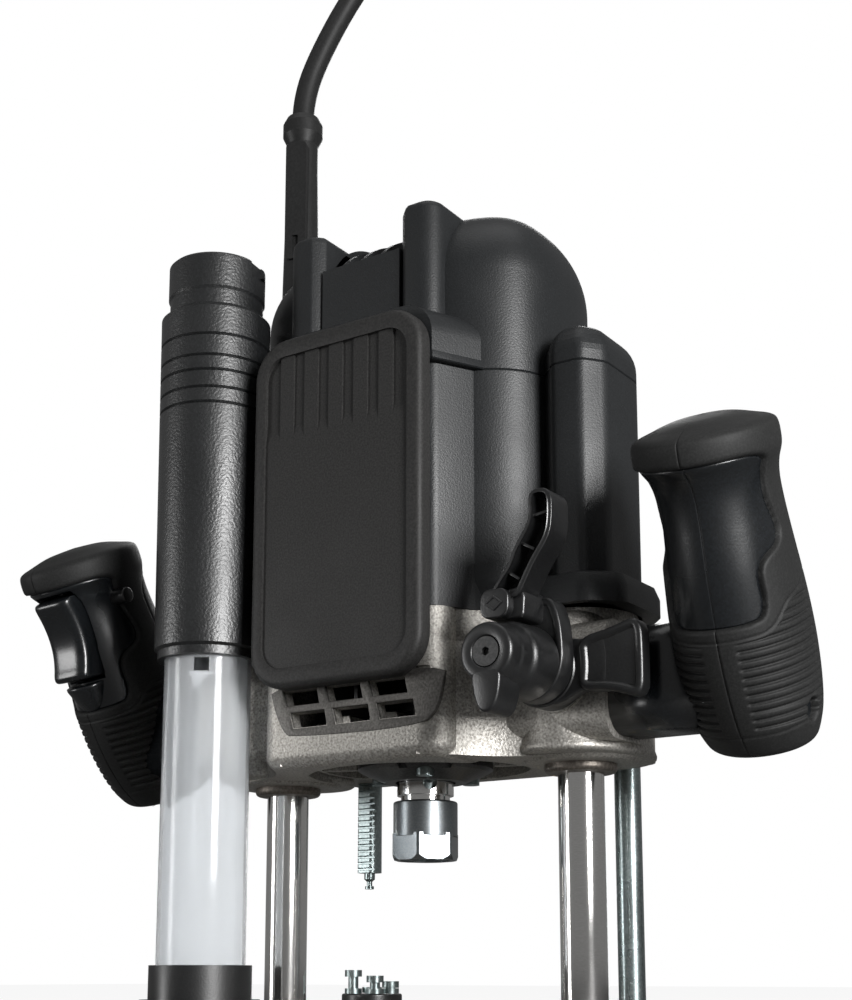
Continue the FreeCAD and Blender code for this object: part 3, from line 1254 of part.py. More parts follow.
def depth_lock_knob():
    """Stepped cone knob with a pointer lobe."""
    y0 = KNOB_Y0
    r = KNOB_FACE_R
    pts = [(0, y0), (r, y0), (r + 1, y0 + 1), (r + 1.2, y0 + 6), (r + 2.4, y0 + 8), (r + 2.8, y0 + POINTER_T)]
    pts += [(KNOB_REAR_R, KNOB_Y1), (0, KNOB_Y1)]
    cone_body = polygon([(x, y, 0) for x, y in pts]).revolve(V(0, 0, 0), Y_AXIS, 360)
    cone_body.translate(V(PIN_X, 0, PIN_Z))
    pointer = spline_face([(PIN_X + dx, PIN_Z + dz) for dx, dz in POINTER_OUTLINE], y0)
    knob = cone_body.fuse(pointer.extrude(V(0, POINTER_T, 0)))
    knob = knob.cut(cyl(PIN_HEAD_R + GAP, 3.4, (PIN_X, y0, PIN_Z), Y_AXIS))
    return pin_cut(knob)


def lever_pin():
    y0 = KNOB_Y0 + 0.2
    p = cyl(PIN_R, PIN_BOSS_Y + 14 - y0, (PIN_X, y0, PIN_Z), Y_AXIS)
    p = p.fuse(cyl(PIN_HEAD_R, 2.9, (PIN_X, y0, PIN_Z), Y_AXIS))
    socket = hexagon(2.6, 0, 2.2, 0)
    socket.rotate(V(0, 0, 0), X_AXIS, -90)
    socket.translate(V(PIN_X, y0, PIN_Z))
    return p.cut(socket)


# ---- small parts ------------------------------------------------------------


def speed_dial():
    d = cyl(DIAL_R, DIAL_T, (0, 0, -DIAL_T / 2))
    for i in range(DIAL_NOTCHES):
        a = 2 * math.pi * i / DIAL_NOTCHES
        d = d.cut(cyl(DIAL_NOTCH_R, DIAL_T, (DIAL_R * math.cos(a), DIAL_R * math.sin(a), -DIAL_T / 2)))
    d = d.cut(cyl(DIAL_PIN_R + RUN_FIT, DIAL_T, (0, 0, -DIAL_T / 2)))
    d.translate(V(0, DIAL_Y, DIAL_Z))
    return d


def brush_holder(s):
    """Slotted cap and square-set holder of one carbon brush, on the front or the rear wall."""
    wall = (CAN_BACK_Y if s > 0 else -FRONT_Y) - BRUSH_CAP_T
    cap = cyl(BRUSH_CAP_R, BRUSH_CAP_T, (0, 0, wall))
    cap = cap.cut(box(-BRUSH_CAP_R, BRUSH_CAP_R, -0.8, 0.8, wall + 0.8, wall + BRUSH_CAP_T))
    start = COMMUTATOR_R + GAP
    holder = cap.fuse(cyl(BRUSH_R, wall - start, (0, 0, start)))
    holder.rotate(V(0, 0, 0), X_AXIS, -90 * s)
    holder.translate(V(0, 0, BRUSH_Z))
    return holder


def circuit_board():
    """Speed control board on the inner face of the front wall."""
    y0 = FRONT_Y + WALL
    half = BLOCK_HALF - WALL - 4
    board = box(-half, half, y0, y0 + 1.6, STATOR_Z0 + 4, STATOR_Z1 - 2)
    return board.fuse(box(-half + 6, half - 20, y0, y0 + 3.4, STATOR_Z0 + 10, STATOR_Z1 - 20))


def cord_guard():
    """Tapered strain relief with a bulb at its mouth and a flat ribbed side."""
    z0 = GUARD_Z0
    top = GUARD_TOP
    pts = [(0, z0 - 8), (GUARD_FOOT_R, z0 - 8), (GUARD_FOOT_R, z0 + 6), (GUARD_R + 0.6, z0 + 8),
           (GUARD_R, z0 + 40), (GUARD_R - 1, top - 24), (GUARD_R - 1, top - 12), (GUARD_TIP_R, top - 8),
           (GUARD_TIP_R, top - 3), (GUARD_TIP_R - 1.5, top), (0, top)]
    g = polygon([(r, 0, z) for r, z in pts]).revolve(V(0, 0, 0), Z_AXIS, 360)
    half = GUARD_RIB_W / 2
    rib = rounded_box(-half, half, -GUARD_R - 1.0, 0, z0 + 48, top - 14, 2, Y_AXIS)
    rib.rotate(V(0, 0, 0), Z_AXIS, GUARD_RIB_TURN)
    g = g.fuse(rib)
    slot = box(-1.2, 1.2, -GUARD_R - 2, -GUARD_R + 0.2, z0 + 50, z0 + 58)
    slot.rotate(V(0, 0, 0), Z_AXIS, GUARD_RIB_TURN)
    g = g.cut(slot)
    g.translate(V(GUARD_X, GUARD_Y, 0))
    return g


# ---- mains lead -------------------------------------------------------------


def arc_path(route):
    """Straight runs joined by tangent arcs, each as large as its two runs allow."""
    pts = [V(*p) for p in route]
    edges = []
    start = pts[0]
    radii = []
    for i in range(1, len(pts) - 1):
        a = pts[i].sub(pts[i - 1])
        b = pts[i + 1].sub(pts[i])
        turn = a.getAngle(b)
        cut = 0.45 * min(a.Length, b.Length)
        radii.append(cut / math.tan(turn / 2))
        u = V(a).normalize()
        w = V(b).normalize()
        p0 = pts[i].sub(V(u).multiply(cut))
        p1 = pts[i].add(V(w).multiply(cut))
        chord = w.sub(u).normalize()
        r = radii[-1]
        mid = pts[i].add(V(chord).multiply(r / math.cos(turn / 2) - r))
        edges.append(Part.LineSegment(start, p0).toShape())
        edges.append(Part.Arc(p0, mid, p1).toShape())
        start = p1
    edges.append(Part.LineSegment(start, pts[-1]).toShape())
    print("cord radii", [round(r) for r in radii])
    return Part.Wire(edges)


def cord():
    path = arc_path(CORD_ROUTE)
    first = V(*CORD_ROUTE[1]).sub(V(*CORD_ROUTE[0]))
    ring_edge = Part.Circle(V(*CORD_ROUTE[0]), first, CORD_R).toShape()
    tube = path.makePipeShell([Part.Wire([ring_edge])], True, False)
    want = math.pi * CORD_R ** 2 * path.Length
    print("cord volume over section times length %.4f, length %.0f" % (abs(tube.Volume) / want, path.Length))
    return tube


def cord_coil():
    outer = COIL_TURN_R + CORD_R
    inner = outer - 2 * CORD_R * COIL_ACROSS
    h = 2 * CORD_R * COIL_LAYERS
    c = cyl(outer, h, (COIL_X, COIL_Y, 0)).cut(cyl(inner, h, (COIL_X, COIL_Y, 0)))
    round_edges = [e for e in c.Edges if e.Length > 2 * outer]
    return c.makeFillet(CORD_R - 0.6, round_edges)


def cord_tie():
    outer = COIL_TURN_R + CORD_R
    inner = outer - 2 * CORD_R * COIL_ACROSS
    h = 2 * CORD_R * COIL_LAYERS
    t = 1.2
    band = box(inner - t, outer + t, -TIE_W / 2, TIE_W / 2, 0, h + t)
    band = band.cut(box(inner, outer, -TIE_W / 2, TIE_W / 2, 0, h))
    band.rotate(V(0, 0, 0), Z_AXIS, TIE_ANGLE)
    band.translate(V(COIL_X, COIL_Y, 0))
    return band


def seat_plug(shape):
    """From the plug's own frame, +Y towards the pins, to the floor beside the coil."""
    outer = COIL_TURN_R + CORD_R
    a = math.radians(PLUG_ANGLE)
    leave = math.sqrt(outer ** 2 - COIL_TURN_R ** 2)
    x = COIL_X + COIL_TURN_R * math.cos(a) - leave * math.sin(a)
    y = COIL_Y + COIL_TURN_R * math.sin(a) + leave * math.cos(a)
    shape.rotate(V(0, 0, 0), Z_AXIS, PLUG_ANGLE)
    shape.translate(V(x, y, 0))
    return shape


def plug_body():
    """Moulded two-pin earthed plug of the oval contour kind, lying flat."""
    y0 = PLUG_NECK_L - 2
    b = rounded_box(-PLUG_W / 2, PLUG_W / 2, y0, y0 + PLUG_L, 0, PLUG_H, 10, Y_AXIS)
    b = b.makeFillet(3.0, [e for e in b.Edges if abs(e.BoundBox.YMax - y0) < 0.01])
    neck = cone(CORD_R + 1.4, CORD_R + 3, PLUG_NECK_L, (0, 0, PLUG_H / 2), Y_AXIS)
    b = b.fuse(neck)
    for s in (-1, 1):
        at = (s * PLUG_PIN_SPACING / 2, y0 + PLUG_L - PLUG_PIN_ROOT, PLUG_H / 2)
        b = b.cut(cyl(PLUG_PIN_R, PLUG_PIN_ROOT + 1, at, Y_AXIS))
    return seat_plug(b)


def plug_pins():
    """Two round line pins that point out of the plug's flat face."""
    y0 = PLUG_NECK_L - 2 + PLUG_L
    pins = []
    for s in (-1, 1):
        at = (s * PLUG_PIN_SPACING / 2, y0 - PLUG_PIN_ROOT, PLUG_H / 2)
        pin = cyl(PLUG_PIN_R, PLUG_PIN_L + PLUG_PIN_ROOT, at, Y_AXIS)
        pins.append(seat_plug(pin))
    return Part.makeCompound(pins)


def main():
    os.makedirs("parts", exist_ok=True)
    export(sole_plate(), "sole_plate")
    export(sole_screws(), "sole_screws")
    export(base_casting(), "base_casting")
    for name, s in fence_screw_places():
        export(fence_screw(s), "fence_screw_" + name)
    for name, s in SIDES:
        export(column(s), "column_" + name)
        export(spring_sleeve(s), "return_spring_" + name)
        export(bush(s), "bush_" + name)
    export(extraction_spout(), "extraction_spout")
    export(extraction_tube(), "extraction_tube")
    export(hose_adaptor(), "hose_adaptor")
    export(turret(), "turret_stop")
    for i in range(3):
        export(turret_screw(i), "turret_screw_%d" % (i + 1))
    export(turret_pivot(), "turret_pivot")
    export(lift_rod(), "lift_rod")
    export(lift_nut(), "lift_nut")
    export(carriage_casting(), "carriage_casting")
    export(motor_housing(), "motor_housing")
    export(top_cap(), "top_cap")
    export(vent_grille(), "vent_grille")
    export(front_cover(), "front_cover")
    export(bearing_cap(), "bearing_cap")
    export(cap_screws(), "bearing_cap_screws")
    export(lower_bearing(), "bearing_lower")
    export(upper_bearing(), "bearing_upper")
    export(stator(), "stator")
    export(circuit_board(), "circuit_board")
    for name, s in fence_screw_places():
        export(brush_holder(s), "brush_holder_" + name)
    export(spindle(), "spindle")
    export(armature(), "armature")
    export(fan(), "fan")
    export(collet(), "collet")
    export(collet_nut(), "collet_nut")
    for name, s in SIDES:
        export(handle_body(s), "handle_" + name)
        export(handle_grip(s), "grip_" + name)
    export(trigger(), "trigger")
    export(lock_button(), "lock_button")
    export(clamp_lever(), "clamp_lever")
    export(select_lever(), "select_lever")
    export(depth_lock_knob(), "depth_lock_knob")
    export(lever_pin(), "lever_pin")
    export(depth_rod(), "depth_rod")
    export(depth_tip(), "depth_tip")
    export(depth_knob(), "depth_knob")
    export(speed_dial(), "speed_dial")
    export(cord_guard(), "cord_guard")
    export(cord(), "cord")
    export(cord_coil(), "cord_coil")
    export(cord_tie(), "cord_tie")
    export(plug_body(), "plug_body")
    export(plug_pins(), "plug_pins")


main()
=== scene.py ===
# %% [markdown]
# # Plunge router, dressed for rendering
# A plunge router is a motor with a collet that slides down two steel columns.
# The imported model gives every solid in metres, at its true place. This lesson
# keeps the solids whose shape is right, gives each one a finish, and makes the
# soft and finely moulded pieces again with modelling operators.

# %% Load the frame
import json
import math

import bmesh
import bpy
import numpy as np
from mathutils import Matrix, Vector


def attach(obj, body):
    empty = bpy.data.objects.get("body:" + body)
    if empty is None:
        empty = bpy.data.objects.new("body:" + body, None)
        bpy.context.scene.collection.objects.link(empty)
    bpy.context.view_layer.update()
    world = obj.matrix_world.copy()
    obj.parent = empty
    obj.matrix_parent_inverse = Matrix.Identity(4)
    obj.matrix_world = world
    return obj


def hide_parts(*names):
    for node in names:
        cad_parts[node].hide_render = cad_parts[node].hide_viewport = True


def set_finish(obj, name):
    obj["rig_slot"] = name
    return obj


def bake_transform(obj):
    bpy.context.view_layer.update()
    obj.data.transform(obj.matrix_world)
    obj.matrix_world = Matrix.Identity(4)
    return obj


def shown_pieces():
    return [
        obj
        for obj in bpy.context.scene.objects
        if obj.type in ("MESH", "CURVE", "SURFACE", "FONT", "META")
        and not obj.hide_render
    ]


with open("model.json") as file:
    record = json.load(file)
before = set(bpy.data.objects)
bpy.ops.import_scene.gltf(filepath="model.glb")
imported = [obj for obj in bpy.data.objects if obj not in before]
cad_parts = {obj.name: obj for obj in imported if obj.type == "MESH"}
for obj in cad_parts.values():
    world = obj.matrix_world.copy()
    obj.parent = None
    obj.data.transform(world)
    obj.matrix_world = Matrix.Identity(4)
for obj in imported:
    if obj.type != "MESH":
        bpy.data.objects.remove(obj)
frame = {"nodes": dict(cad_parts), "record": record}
nodes = frame["nodes"]
scene = bpy.context.scene
SIDES = ((-1, "left"), (1, "right"))
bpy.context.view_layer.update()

# %% [markdown]
# ## The camera
# The camera stands low in front of the right handle and looks slightly up,
# so the tool seems tall. The frame is shifted up instead of tilting further,
# which keeps the columns nearly upright, as a view camera does.

# %% Camera
VIEW_FROM = (0.313, -0.469, 0.038)
VIEW_TURN = 33.7
VIEW_RAISE = 10.0
LENS = 55.5
FRAME_SHIFT = 0.202

camera_data = bpy.data.cameras.new("camera")
camera_data.lens = LENS
camera_data.sensor_width = 36.0
camera_data.shift_y = FRAME_SHIFT
camera_data.clip_start = 0.01
camera = bpy.data.objects.new("camera", camera_data)
camera.location = VIEW_FROM
camera.rotation_euler = (math.radians(90 + VIEW_RAISE), 0, math.radians(VIEW_TURN))
scene.collection.objects.link(camera)
bpy.context.scene.camera = camera
print("camera at", VIEW_FROM)

# %% [markdown]
# ## Small helpers
# A piece is a bmesh that becomes an object, sits at the origin, rides on a
# body and may stand for a solid. The other helpers are the modelling steps
# that most pieces share: rounding edges, cutting along planes, sinking a face
# and giving an opening its walls.

# %% Helpers
def link_piece(name, shape, body, slot, stands_for=(), crease=None):
    """A mesh or bmesh becomes a smooth piece that rides on a body and replaces its solids."""
    mesh = shape if isinstance(shape, bpy.types.Mesh) else to_mesh(shape, name)
    piece = bpy.data.objects.new(name, mesh)
    scene.collection.objects.link(piece)
    for face in mesh.polygons:
        face.use_smooth = True
    if crease:
        mesh.set_sharp_from_angle(angle=math.radians(crease))
    if body:
        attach(piece, body)
    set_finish(piece, slot)
    if stands_for:
        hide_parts(*stands_for)
    print(name, len(mesh.polygons), "faces")
    return piece


def to_mesh(bm, name):
    """The bmesh's normals are made to point outwards before it is stored."""
    bmesh.ops.remove_doubles(bm, verts=bm.verts, dist=1e-6)
    bmesh.ops.recalc_face_normals(bm, faces=bm.faces)
    mesh = bpy.data.meshes.new(name)
    bm.to_mesh(mesh)
    bm.free()
    return mesh


def join_in(bm, part):
    """Adds a finished part to the mesh as one more closed shell."""
    spare = to_mesh(part, "spare")
    bm.from_mesh(spare)
    bpy.data.meshes.remove(spare)


def verts_of(geom):
    return [g for g in geom if isinstance(g, bmesh.types.BMVert)]


def faces_of(geom):
    return [g for g in geom if isinstance(g, bmesh.types.BMFace)]


def round_edges(bm, edges, radius, segments):
    bmesh.ops.bevel(bm, geom=edges, offset=radius, segments=segments, profile=0.5,
                    affect="EDGES", material=-1)


def across(axis, *values):
    """The planes that cross one axis at these values, each a point and a normal."""
    unit = Vector([float(i == axis) for i in range(3)])
    return [(unit * value, unit) for value in values]


def cut_along(bm, planes, near=lambda x, y, z: True, dist=1e-4):
    """Splits the faces whose middle is near, where the planes cross them."""
    for point, normal in planes:
        geom = [f for f in bm.faces if near(*f.calc_center_median())]
        geom += list(dict.fromkeys(part for f in geom for part in (*f.edges, *f.verts)))
        bmesh.ops.bisect_plane(bm, geom=geom, plane_co=point, plane_no=normal, dist=dist)


def cut_away(bm, inside):
    """Deletes the faces whose middle is inside."""
    gone = [f for f in bm.faces if inside(*f.calc_center_median())]
    bmesh.ops.delete(bm, geom=gone, context="FACES")


def sink(bm, faces, depth):
    """Lowers the faces and gives them walls; the lowered corners come back."""
    lowered = verts_of(bmesh.ops.extrude_face_region(bm, geom=faces)["geom"])
    bmesh.ops.delete(bm, geom=[f for f in faces if f.is_valid], context="FACES_ONLY")
    bmesh.ops.translate(bm, verts=lowered, vec=(0, 0, -depth))
    return lowered


def line_opening(bm, axis, level, merge):
    """Walls run from the opening's rim to a flat floor."""
    rim = [e for e in bm.edges if e.is_boundary]
    for v in verts_of(bmesh.ops.extrude_edge_only(bm, edges=rim)["geom"]):
        v.co[axis] = level
    bmesh.ops.remove_doubles(bm, verts=bm.verts, dist=merge)
    bmesh.ops.holes_fill(bm, edges=[e for e in bm.edges if e.is_boundary], sides=0)


print("helpers ready")

# %% [markdown]
# ## The mains lead
# A rubber lead, a good two and a half metres long, rises out of its guard,
# bows over behind the motor and comes down to the floor, where what is left
# over lies in a coil. A smooth NURBS spline follows a few listed points.
# The turns of the coil are more points of the same spline, wound inwards on
# the floor and outwards again on top.

# %% Route of the lead
LEAD_DIAMETER = 0.009
LEAD_ROUTE = (
    (-0.0573, -0.006, 0.388), (-0.0573, -0.006, 0.396), (-0.0535, -0.0032, 0.414),
    (-0.041, 0.0065, 0.448), (-0.02, 0.02, 0.484), (0.02, 0.041, 0.509),
    (0.068, 0.064, 0.513), (0.112, 0.084, 0.492), (0.144, 0.097, 0.452),
    (0.158, 0.104, 0.394), (0.16, 0.104, 0.318), (0.153, 0.101, 0.228),
    (0.144, 0.101, 0.146), (0.136, 0.1045, 0.088), (0.134, 0.105, 0.0472),
    (0.134, 0.1131, 0.0276), (0.134, 0.1281, 0.0126), (0.134, 0.1477, 0.0045),
)
COIL_CENTRE = (0.0705, 0.1685)
COIL_RADIUS = 0.0635
COIL_PITCH = 0.0091
COIL_POINTS = 16
INWARD_TURNS = 3.0
CLIMB_TURNS = 0.375
LEAVE = 0.0243
LEAVE_DROP = 0.0016


def coil_points():
    """The turns on the floor run inwards, climb, and run outwards again."""
    turns = 2 * INWARD_TURNS + CLIMB_TURNS
    points = []
    for i in range(round(turns * COIL_POINTS) + 1):
        turn = i / COIL_POINTS
        climb = min(max((turn - INWARD_TURNS) / CLIMB_TURNS, 0), 1)
        inward = min(turn, INWARD_TURNS) - max(turn - INWARD_TURNS - CLIMB_TURNS, 0)
        radius = COIL_RADIUS - COIL_PITCH * inward
        height = LEAD_DIAMETER / 2 + COIL_PITCH * climb
        angle = math.tau * turn
        points.append((COIL_CENTRE[0] + radius * math.cos(angle),
                       COIL_CENTRE[1] + radius * math.sin(angle), height))
    end = math.tau * turns
    last = points[-1]
    for along in (0.4 * LEAVE, LEAVE):
        points.append((last[0] - along * math.sin(end), last[1] + along * math.cos(end),
                       last[2] - LEAVE_DROP * along / LEAVE))
    return points


def lead_curve(bevel):
    """The lead's spline, bare or with its round section."""
    curve = bpy.data.curves.new("lead_line", "CURVE")
    curve.dimensions = "3D"
    curve.resolution_u = 6
    curve.bevel_depth = bevel
    curve.bevel_resolution = 6
    curve.use_fill_caps = True
    points = list(LEAD_ROUTE) + coil_points()
    spline = curve.splines.new("NURBS")
    spline.points.add(len(points) - 1)
    for i, point in enumerate(points):
        spline.points[i].co = (*point, 1.0)
    spline.order_u = 3
    spline.use_endpoint_u = True
    return curve


def lead_mesh(bevel):
    """Blender turns the spline into a mesh, or into its bare line."""
    holder = bpy.data.objects.new("lead_holder", lead_curve(bevel))
    scene.collection.objects.link(holder)
    bpy.context.view_layer.update()
    graph = bpy.context.evaluated_depsgraph_get()
    mesh = bpy.data.meshes.new_from_object(holder.evaluated_get(graph))
    bpy.data.objects.remove(holder)
    return mesh


lead_line = lead_mesh(0.0)
lead_path = [tuple(v.co) for v in lead_line.vertices]
lead_run = sum((Vector(a) - Vector(b)).length for a, b in zip(lead_path, lead_path[1:]))
print("lead", round(lead_run, 3), "m along", len(lead_path), "points")

# %% [markdown]
# The real lead is one rubber hose, so it is one piece here. It rides on no
# body, so it stays as it is laid when the router plunges.

# %% Lead
lead = link_piece("mains_lead", lead_mesh(LEAD_DIAMETER / 2), None, "cord_rubber",
                  ("cord", "cord_coil"))
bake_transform(lead)

# %% [markdown]
# ## Skins rolled from a grid
# Moulded forms such as a handle have an oval section that changes all the way
# up. A flat grid is rolled into a tube, one row per height and one column per
# angle, and its first and last rows are drawn together into the two ends.

# %% Rolled skins
def rolled(rows, columns, place):
    """A closed skin: place(row, column) gives arrays of x, y and z."""
    bm = bmesh.new()
    bmesh.ops.create_grid(bm, x_segments=columns, y_segments=rows - 1, size=1.0)
    flat = np.array([tuple(v.co) for v in bm.verts])
    column = np.rint((flat[:, 0] + 1) / 2 * columns).astype(int) % columns
    row = np.rint((flat[:, 1] + 1) / 2 * (rows - 1)).astype(int)
    spots = np.stack(place(row, column), axis=1)
    for v, spot in zip(bm.verts, spots):
        v.co = spot
    bmesh.ops.remove_doubles(bm, verts=bm.verts, dist=2e-7)
    return bm


def eased(points, rounds, closed=False):
    """Cuts the corners off a line of points, so that it runs smoothly."""
    line = np.array(points, float)
    for _ in range(rounds):
        ahead = np.roll(line, -1, axis=0) if closed else line[1:]
        here = line if closed else line[:-1]
        cut = np.stack([0.75 * here + 0.25 * ahead, 0.25 * here + 0.75 * ahead], axis=1)
        cut = cut.reshape(-1, line.shape[1])
        line = cut if closed else np.concatenate([line[:1], cut, line[-1:]])
    return line


def evenly(line, count):
    """The line's columns, taken again at equal runs along it."""
    run = np.concatenate([[0], np.cumsum(np.hypot(*np.diff(line[:, :2], axis=0).T))])
    return [np.interp(np.linspace(0, run[-1], count), run, column) for column in line.T]


def oval(form, z, turn, rise=0.0):
    """Points of oval sections from height, half width, half depth and set-back, in metres."""
    a, b, back = (np.interp(z, form[:, 0], form[:, i]) for i in (1, 2, 3))
    x = (a + rise) * np.sin(turn)
    y = back - (b + rise) * np.cos(turn)
    return x / 1000, y / 1000, z / 1000


def edge_distance(x, z, outline):
    """Distance to a closed outline, less than zero inside it."""
    start, end = outline, np.roll(outline, -1, axis=0)
    nearest = np.full(len(x), 1e9)
    inside = np.zeros(len(x), bool)
    for (ax, az), (bx, bz) in zip(start, end):
        run = (bx - ax) ** 2 + (bz - az) ** 2
        t = np.clip(((x - ax) * (bx - ax) + (z - az) * (bz - az)) / run, 0, 1)
        nearest = np.minimum(nearest, np.hypot(x - ax - t * (bx - ax), z - az - t * (bz - az)))
        if az != bz:
            crosses = (az > z) != (bz > z)
            inside ^= crosses & (x < (bx - ax) * (z - az) / (bz - az) + ax)
    return np.where(inside, -nearest, nearest)


def step(value, low, high):
    """Climbs smoothly from 0 to 1 between the two values."""
    t = np.clip((value - low) / (high - low), 0, 1)
    return t * t * (3 - 2 * t)


print("skin helpers ready")

# %% [markdown]
# ## The handles
# Each handle is a hard, half-gloss core with a soft overmould. The soft part
# makes the mushroom cap, runs down the back and wraps the lower grip, and its
# edge waves round the bare window in front. Finger grooves stand in two
# columns beside the parting line. A real handle is made like this too: the
# core is moulded first and the rubber is shot round it, and a small step and
# a dark line show where they meet.
#
# Both skins share one form. Where one lies on top, the other dips under it,
# so the edge between them is a true intersection and stays crisp. Lengths in
# this cell are in millimetres, in the handle's own upright frame.

# %% Handle form
# height, half width, half depth, set-back of the middle
HANDLE_FORM = (
    (0, 0.2, 0.2, 4), (0.1, 8, 7.5, 4), (0.4, 12.4, 11.8, 4),
    (2.2, 15.8, 15.4, 3.8), (6, 17.4, 17.9, 3.4), (12, 19.2, 20.6, 2.8),
    (22, 20.2, 23, 2.1), (34, 20.5, 24.4, 1.5), (46, 20.1, 24.4, 1),
    (58, 19.2, 23.7, 0.5), (70, 18.2, 22.3, 0), (80, 17.5, 21.2, -0.2),
    (87, 17.5, 21, -0.8), (92, 18.6, 22.2, -2), (95.5, 20.3, 24.3, -3.2),
    (98, 20.8, 25, -3.6), (103.6, 20.6, 24.8, -3.6), (105.2, 19, 23.2, -3.6),
    (106.4, 15, 19, -3.6), (108.2, 9.5, 13, -3.6), (109, 4.5, 7, -3.6),
    (109.3, 0.2, 0.2, -3.6),
)
# angle from the front and height, from the bottom middle up one side
WINDOW = (
    (0, 46.4), (38, 46.6), (46, 48.2), (49.5, 52.5), (49, 58.5), (51.5, 63),
    (60, 65.5), (74, 67.4), (81.5, 70.8), (79, 76), (73, 82), (73.5, 90), (77, 96.6),
    (0, 96.6),
)
HALF_PANEL = (
    (150, 9.8), (150, 42.4), (150, 56), (104, 56), (94, 53.5), (70, 51), (61.5, 48),
    (51, 43.8), (35, 42.4),
)
BACK_PANEL = ((-62, 56), (0, 50), (62, 56), (72, 74), (68, 90), (0, 93), (-68, 90), (-72, 74))
AROUND = 20.5 * math.pi / 180     # millimetres per degree, near enough
RUBBER = 1.4
GROOVE_FIRST = 12.8
GROOVE_PITCH = 2.87
GROOVE_ROWS = 10
SEAM_ANGLE = 4.5
HOLE_ANGLE = 80
HOLE_Z = 13.4
COLUMNS = 220
FORM = eased(HANDLE_FORM, 3)
groove_rows = [GROOVE_FIRST + GROOVE_PITCH * i + d for i in range(GROOVE_ROWS + 5)
               for d in (-0.55, -0.2, 0.2, 0.55)]
ROW_Z = np.unique(np.round(np.concatenate([evenly(FORM, 270)[0], groove_rows]), 4))
COLUMN_ANGLE = np.sort(np.concatenate([
    np.linspace(-180, 180, COLUMNS, endpoint=False) + 0.3,
    [SEAM_ANGLE + d for d in (-1.0, -0.35, 0.35, 1.0)]]))


def wrapped(points, rounds, mirror=()):
    """An outline on the handle's skin, with the mirror's points on its other side."""
    points = [*points, *((-a, z) for a, z in mirror)]
    return eased([(a * AROUND, z) for a, z in points], rounds, closed=True)


window_line = wrapped(WINDOW, 2, WINDOW[-2:0:-1])
panel_line = wrapped(HALF_PANEL, 2, HALF_PANEL[::-1])
back_line = wrapped(BACK_PANEL, 3)
print("handle rows", len(ROW_Z), "columns", len(COLUMN_ANGLE))


def rubber_relief(angle, z):
    """Height of the overmould's face over the bare form."""
    along = angle * AROUND
    out = edge_distance(along, z, window_line)
    relief = -0.9 + (RUBBER + 0.9) * step(out, -0.3, 0.35)
    relief -= 0.35 * (1 - step(out, 0.3, 1.2))
    panel = edge_distance(along, z, panel_line)
    relief -= 0.4 * (1 - step(np.abs(panel), 0.15, 0.6))
    back = edge_distance(((angle % 360) - 180) * AROUND, z, back_line)
    relief -= 0.45 * (1 - step(np.abs(back), 0.15, 0.7))
    row = np.round((z - GROOVE_FIRST) / GROOVE_PITCH)
    off = np.abs(z - GROOVE_FIRST - row * GROOVE_PITCH)
    groove = (1 - step(off, 0.2, 0.75)) * (row >= 0) * step(-panel, 0.9, 1.8)
    reach = np.abs(angle - 4)
    groove *= step(reach, 14, 16.5) * (1 - step(reach, 92, 96))
    relief -= 0.85 * groove
    hole = np.hypot((angle - HOLE_ANGLE) * AROUND / 3.1, (z - HOLE_Z) / 4.2)
    relief -= 0.5 * (1 - step(hole, 0.95, 1.3)) + 3.5 * (1 - step(hole, 0.72, 1.0))
    return relief - 0.3 * seam_line(angle)


def core_relief(angle, z):
    """The bare core stands in its window and dips away outside it."""
    out = edge_distance(angle * AROUND, z, window_line)
    return 0.1 - 1.3 * step(out, -0.5, 0.4) - 0.16 * seam_line(angle)


def seam_line(angle):
    return 1 - step(np.abs(angle - SEAM_ANGLE), 0.35, 1.0)


RAKE = math.radians(26.0)
SPLAY = math.radians(2.8)
HANDLE_X = 0.130
HANDLE_Z = 0.109


def seat(side):
    """From the handle's upright frame to its place on the tool."""
    place = Matrix.Translation((side * HANDLE_X, 0, HANDLE_Z))
    turn = Matrix.Rotation(side * SPLAY, 4, "Y") @ Matrix.Rotation(RAKE, 4, "X")
    return place @ turn @ Matrix.Diagonal((side, 1, 1, 1))


def handle_skin(relief):
    """The common form with one relief, in metres."""
    def place(row, column):
        z, angle = ROW_Z[row], COLUMN_ANGLE[column]
        ends = step(z, 0.05, 1.0) * (1 - step(z, 108.6, 109.2))
        return oval(FORM, z, np.radians(angle), relief(angle, z) * ends)
    return rolled(len(ROW_Z), len(COLUMN_ANGLE), place)


TRIGGER_HALF = 0.0098
TRIGGER_LOW = 0.0580
TRIGGER_HIGH = 0.0945
TRIGGER_FLOOR = -0.008
BEFORE_TRIGGER = 0.05
PAST_TRIGGER = 0.1


def open_front(bm, walls):
    """Cuts the trigger's opening, and gives it walls and a floor."""
    cuts = across(0, -TRIGGER_HALF, TRIGGER_HALF) + across(2, TRIGGER_LOW, TRIGGER_HIGH)
    cut_along(bm, cuts, lambda x, y, z: y < TRIGGER_FLOOR
              and BEFORE_TRIGGER < z < PAST_TRIGGER, 1e-6)
    cut_away(bm, lambda x, y, z: abs(x) < TRIGGER_HALF and y < TRIGGER_FLOOR
             and TRIGGER_LOW < z < TRIGGER_HIGH)
    if walls:
        line_opening(bm, 1, TRIGGER_FLOOR, 1e-8)


print("trigger opening", 2 * TRIGGER_HALF, "m wide")

# %% [markdown]
# ### Handle pieces
# A square arm joins each core to the casting; a scaled cube is enough, since
# both its ends are hidden. The left handle is opened in front for the
# trigger, with a small oval lip under the opening.

# %% Handle pieces
STEM_LOW = Vector((0.0875, -0.025, 0.1155))
STEM_HIGH = Vector((0.12, 0.006, 0.151))
STEM_ROUND = 0.0095


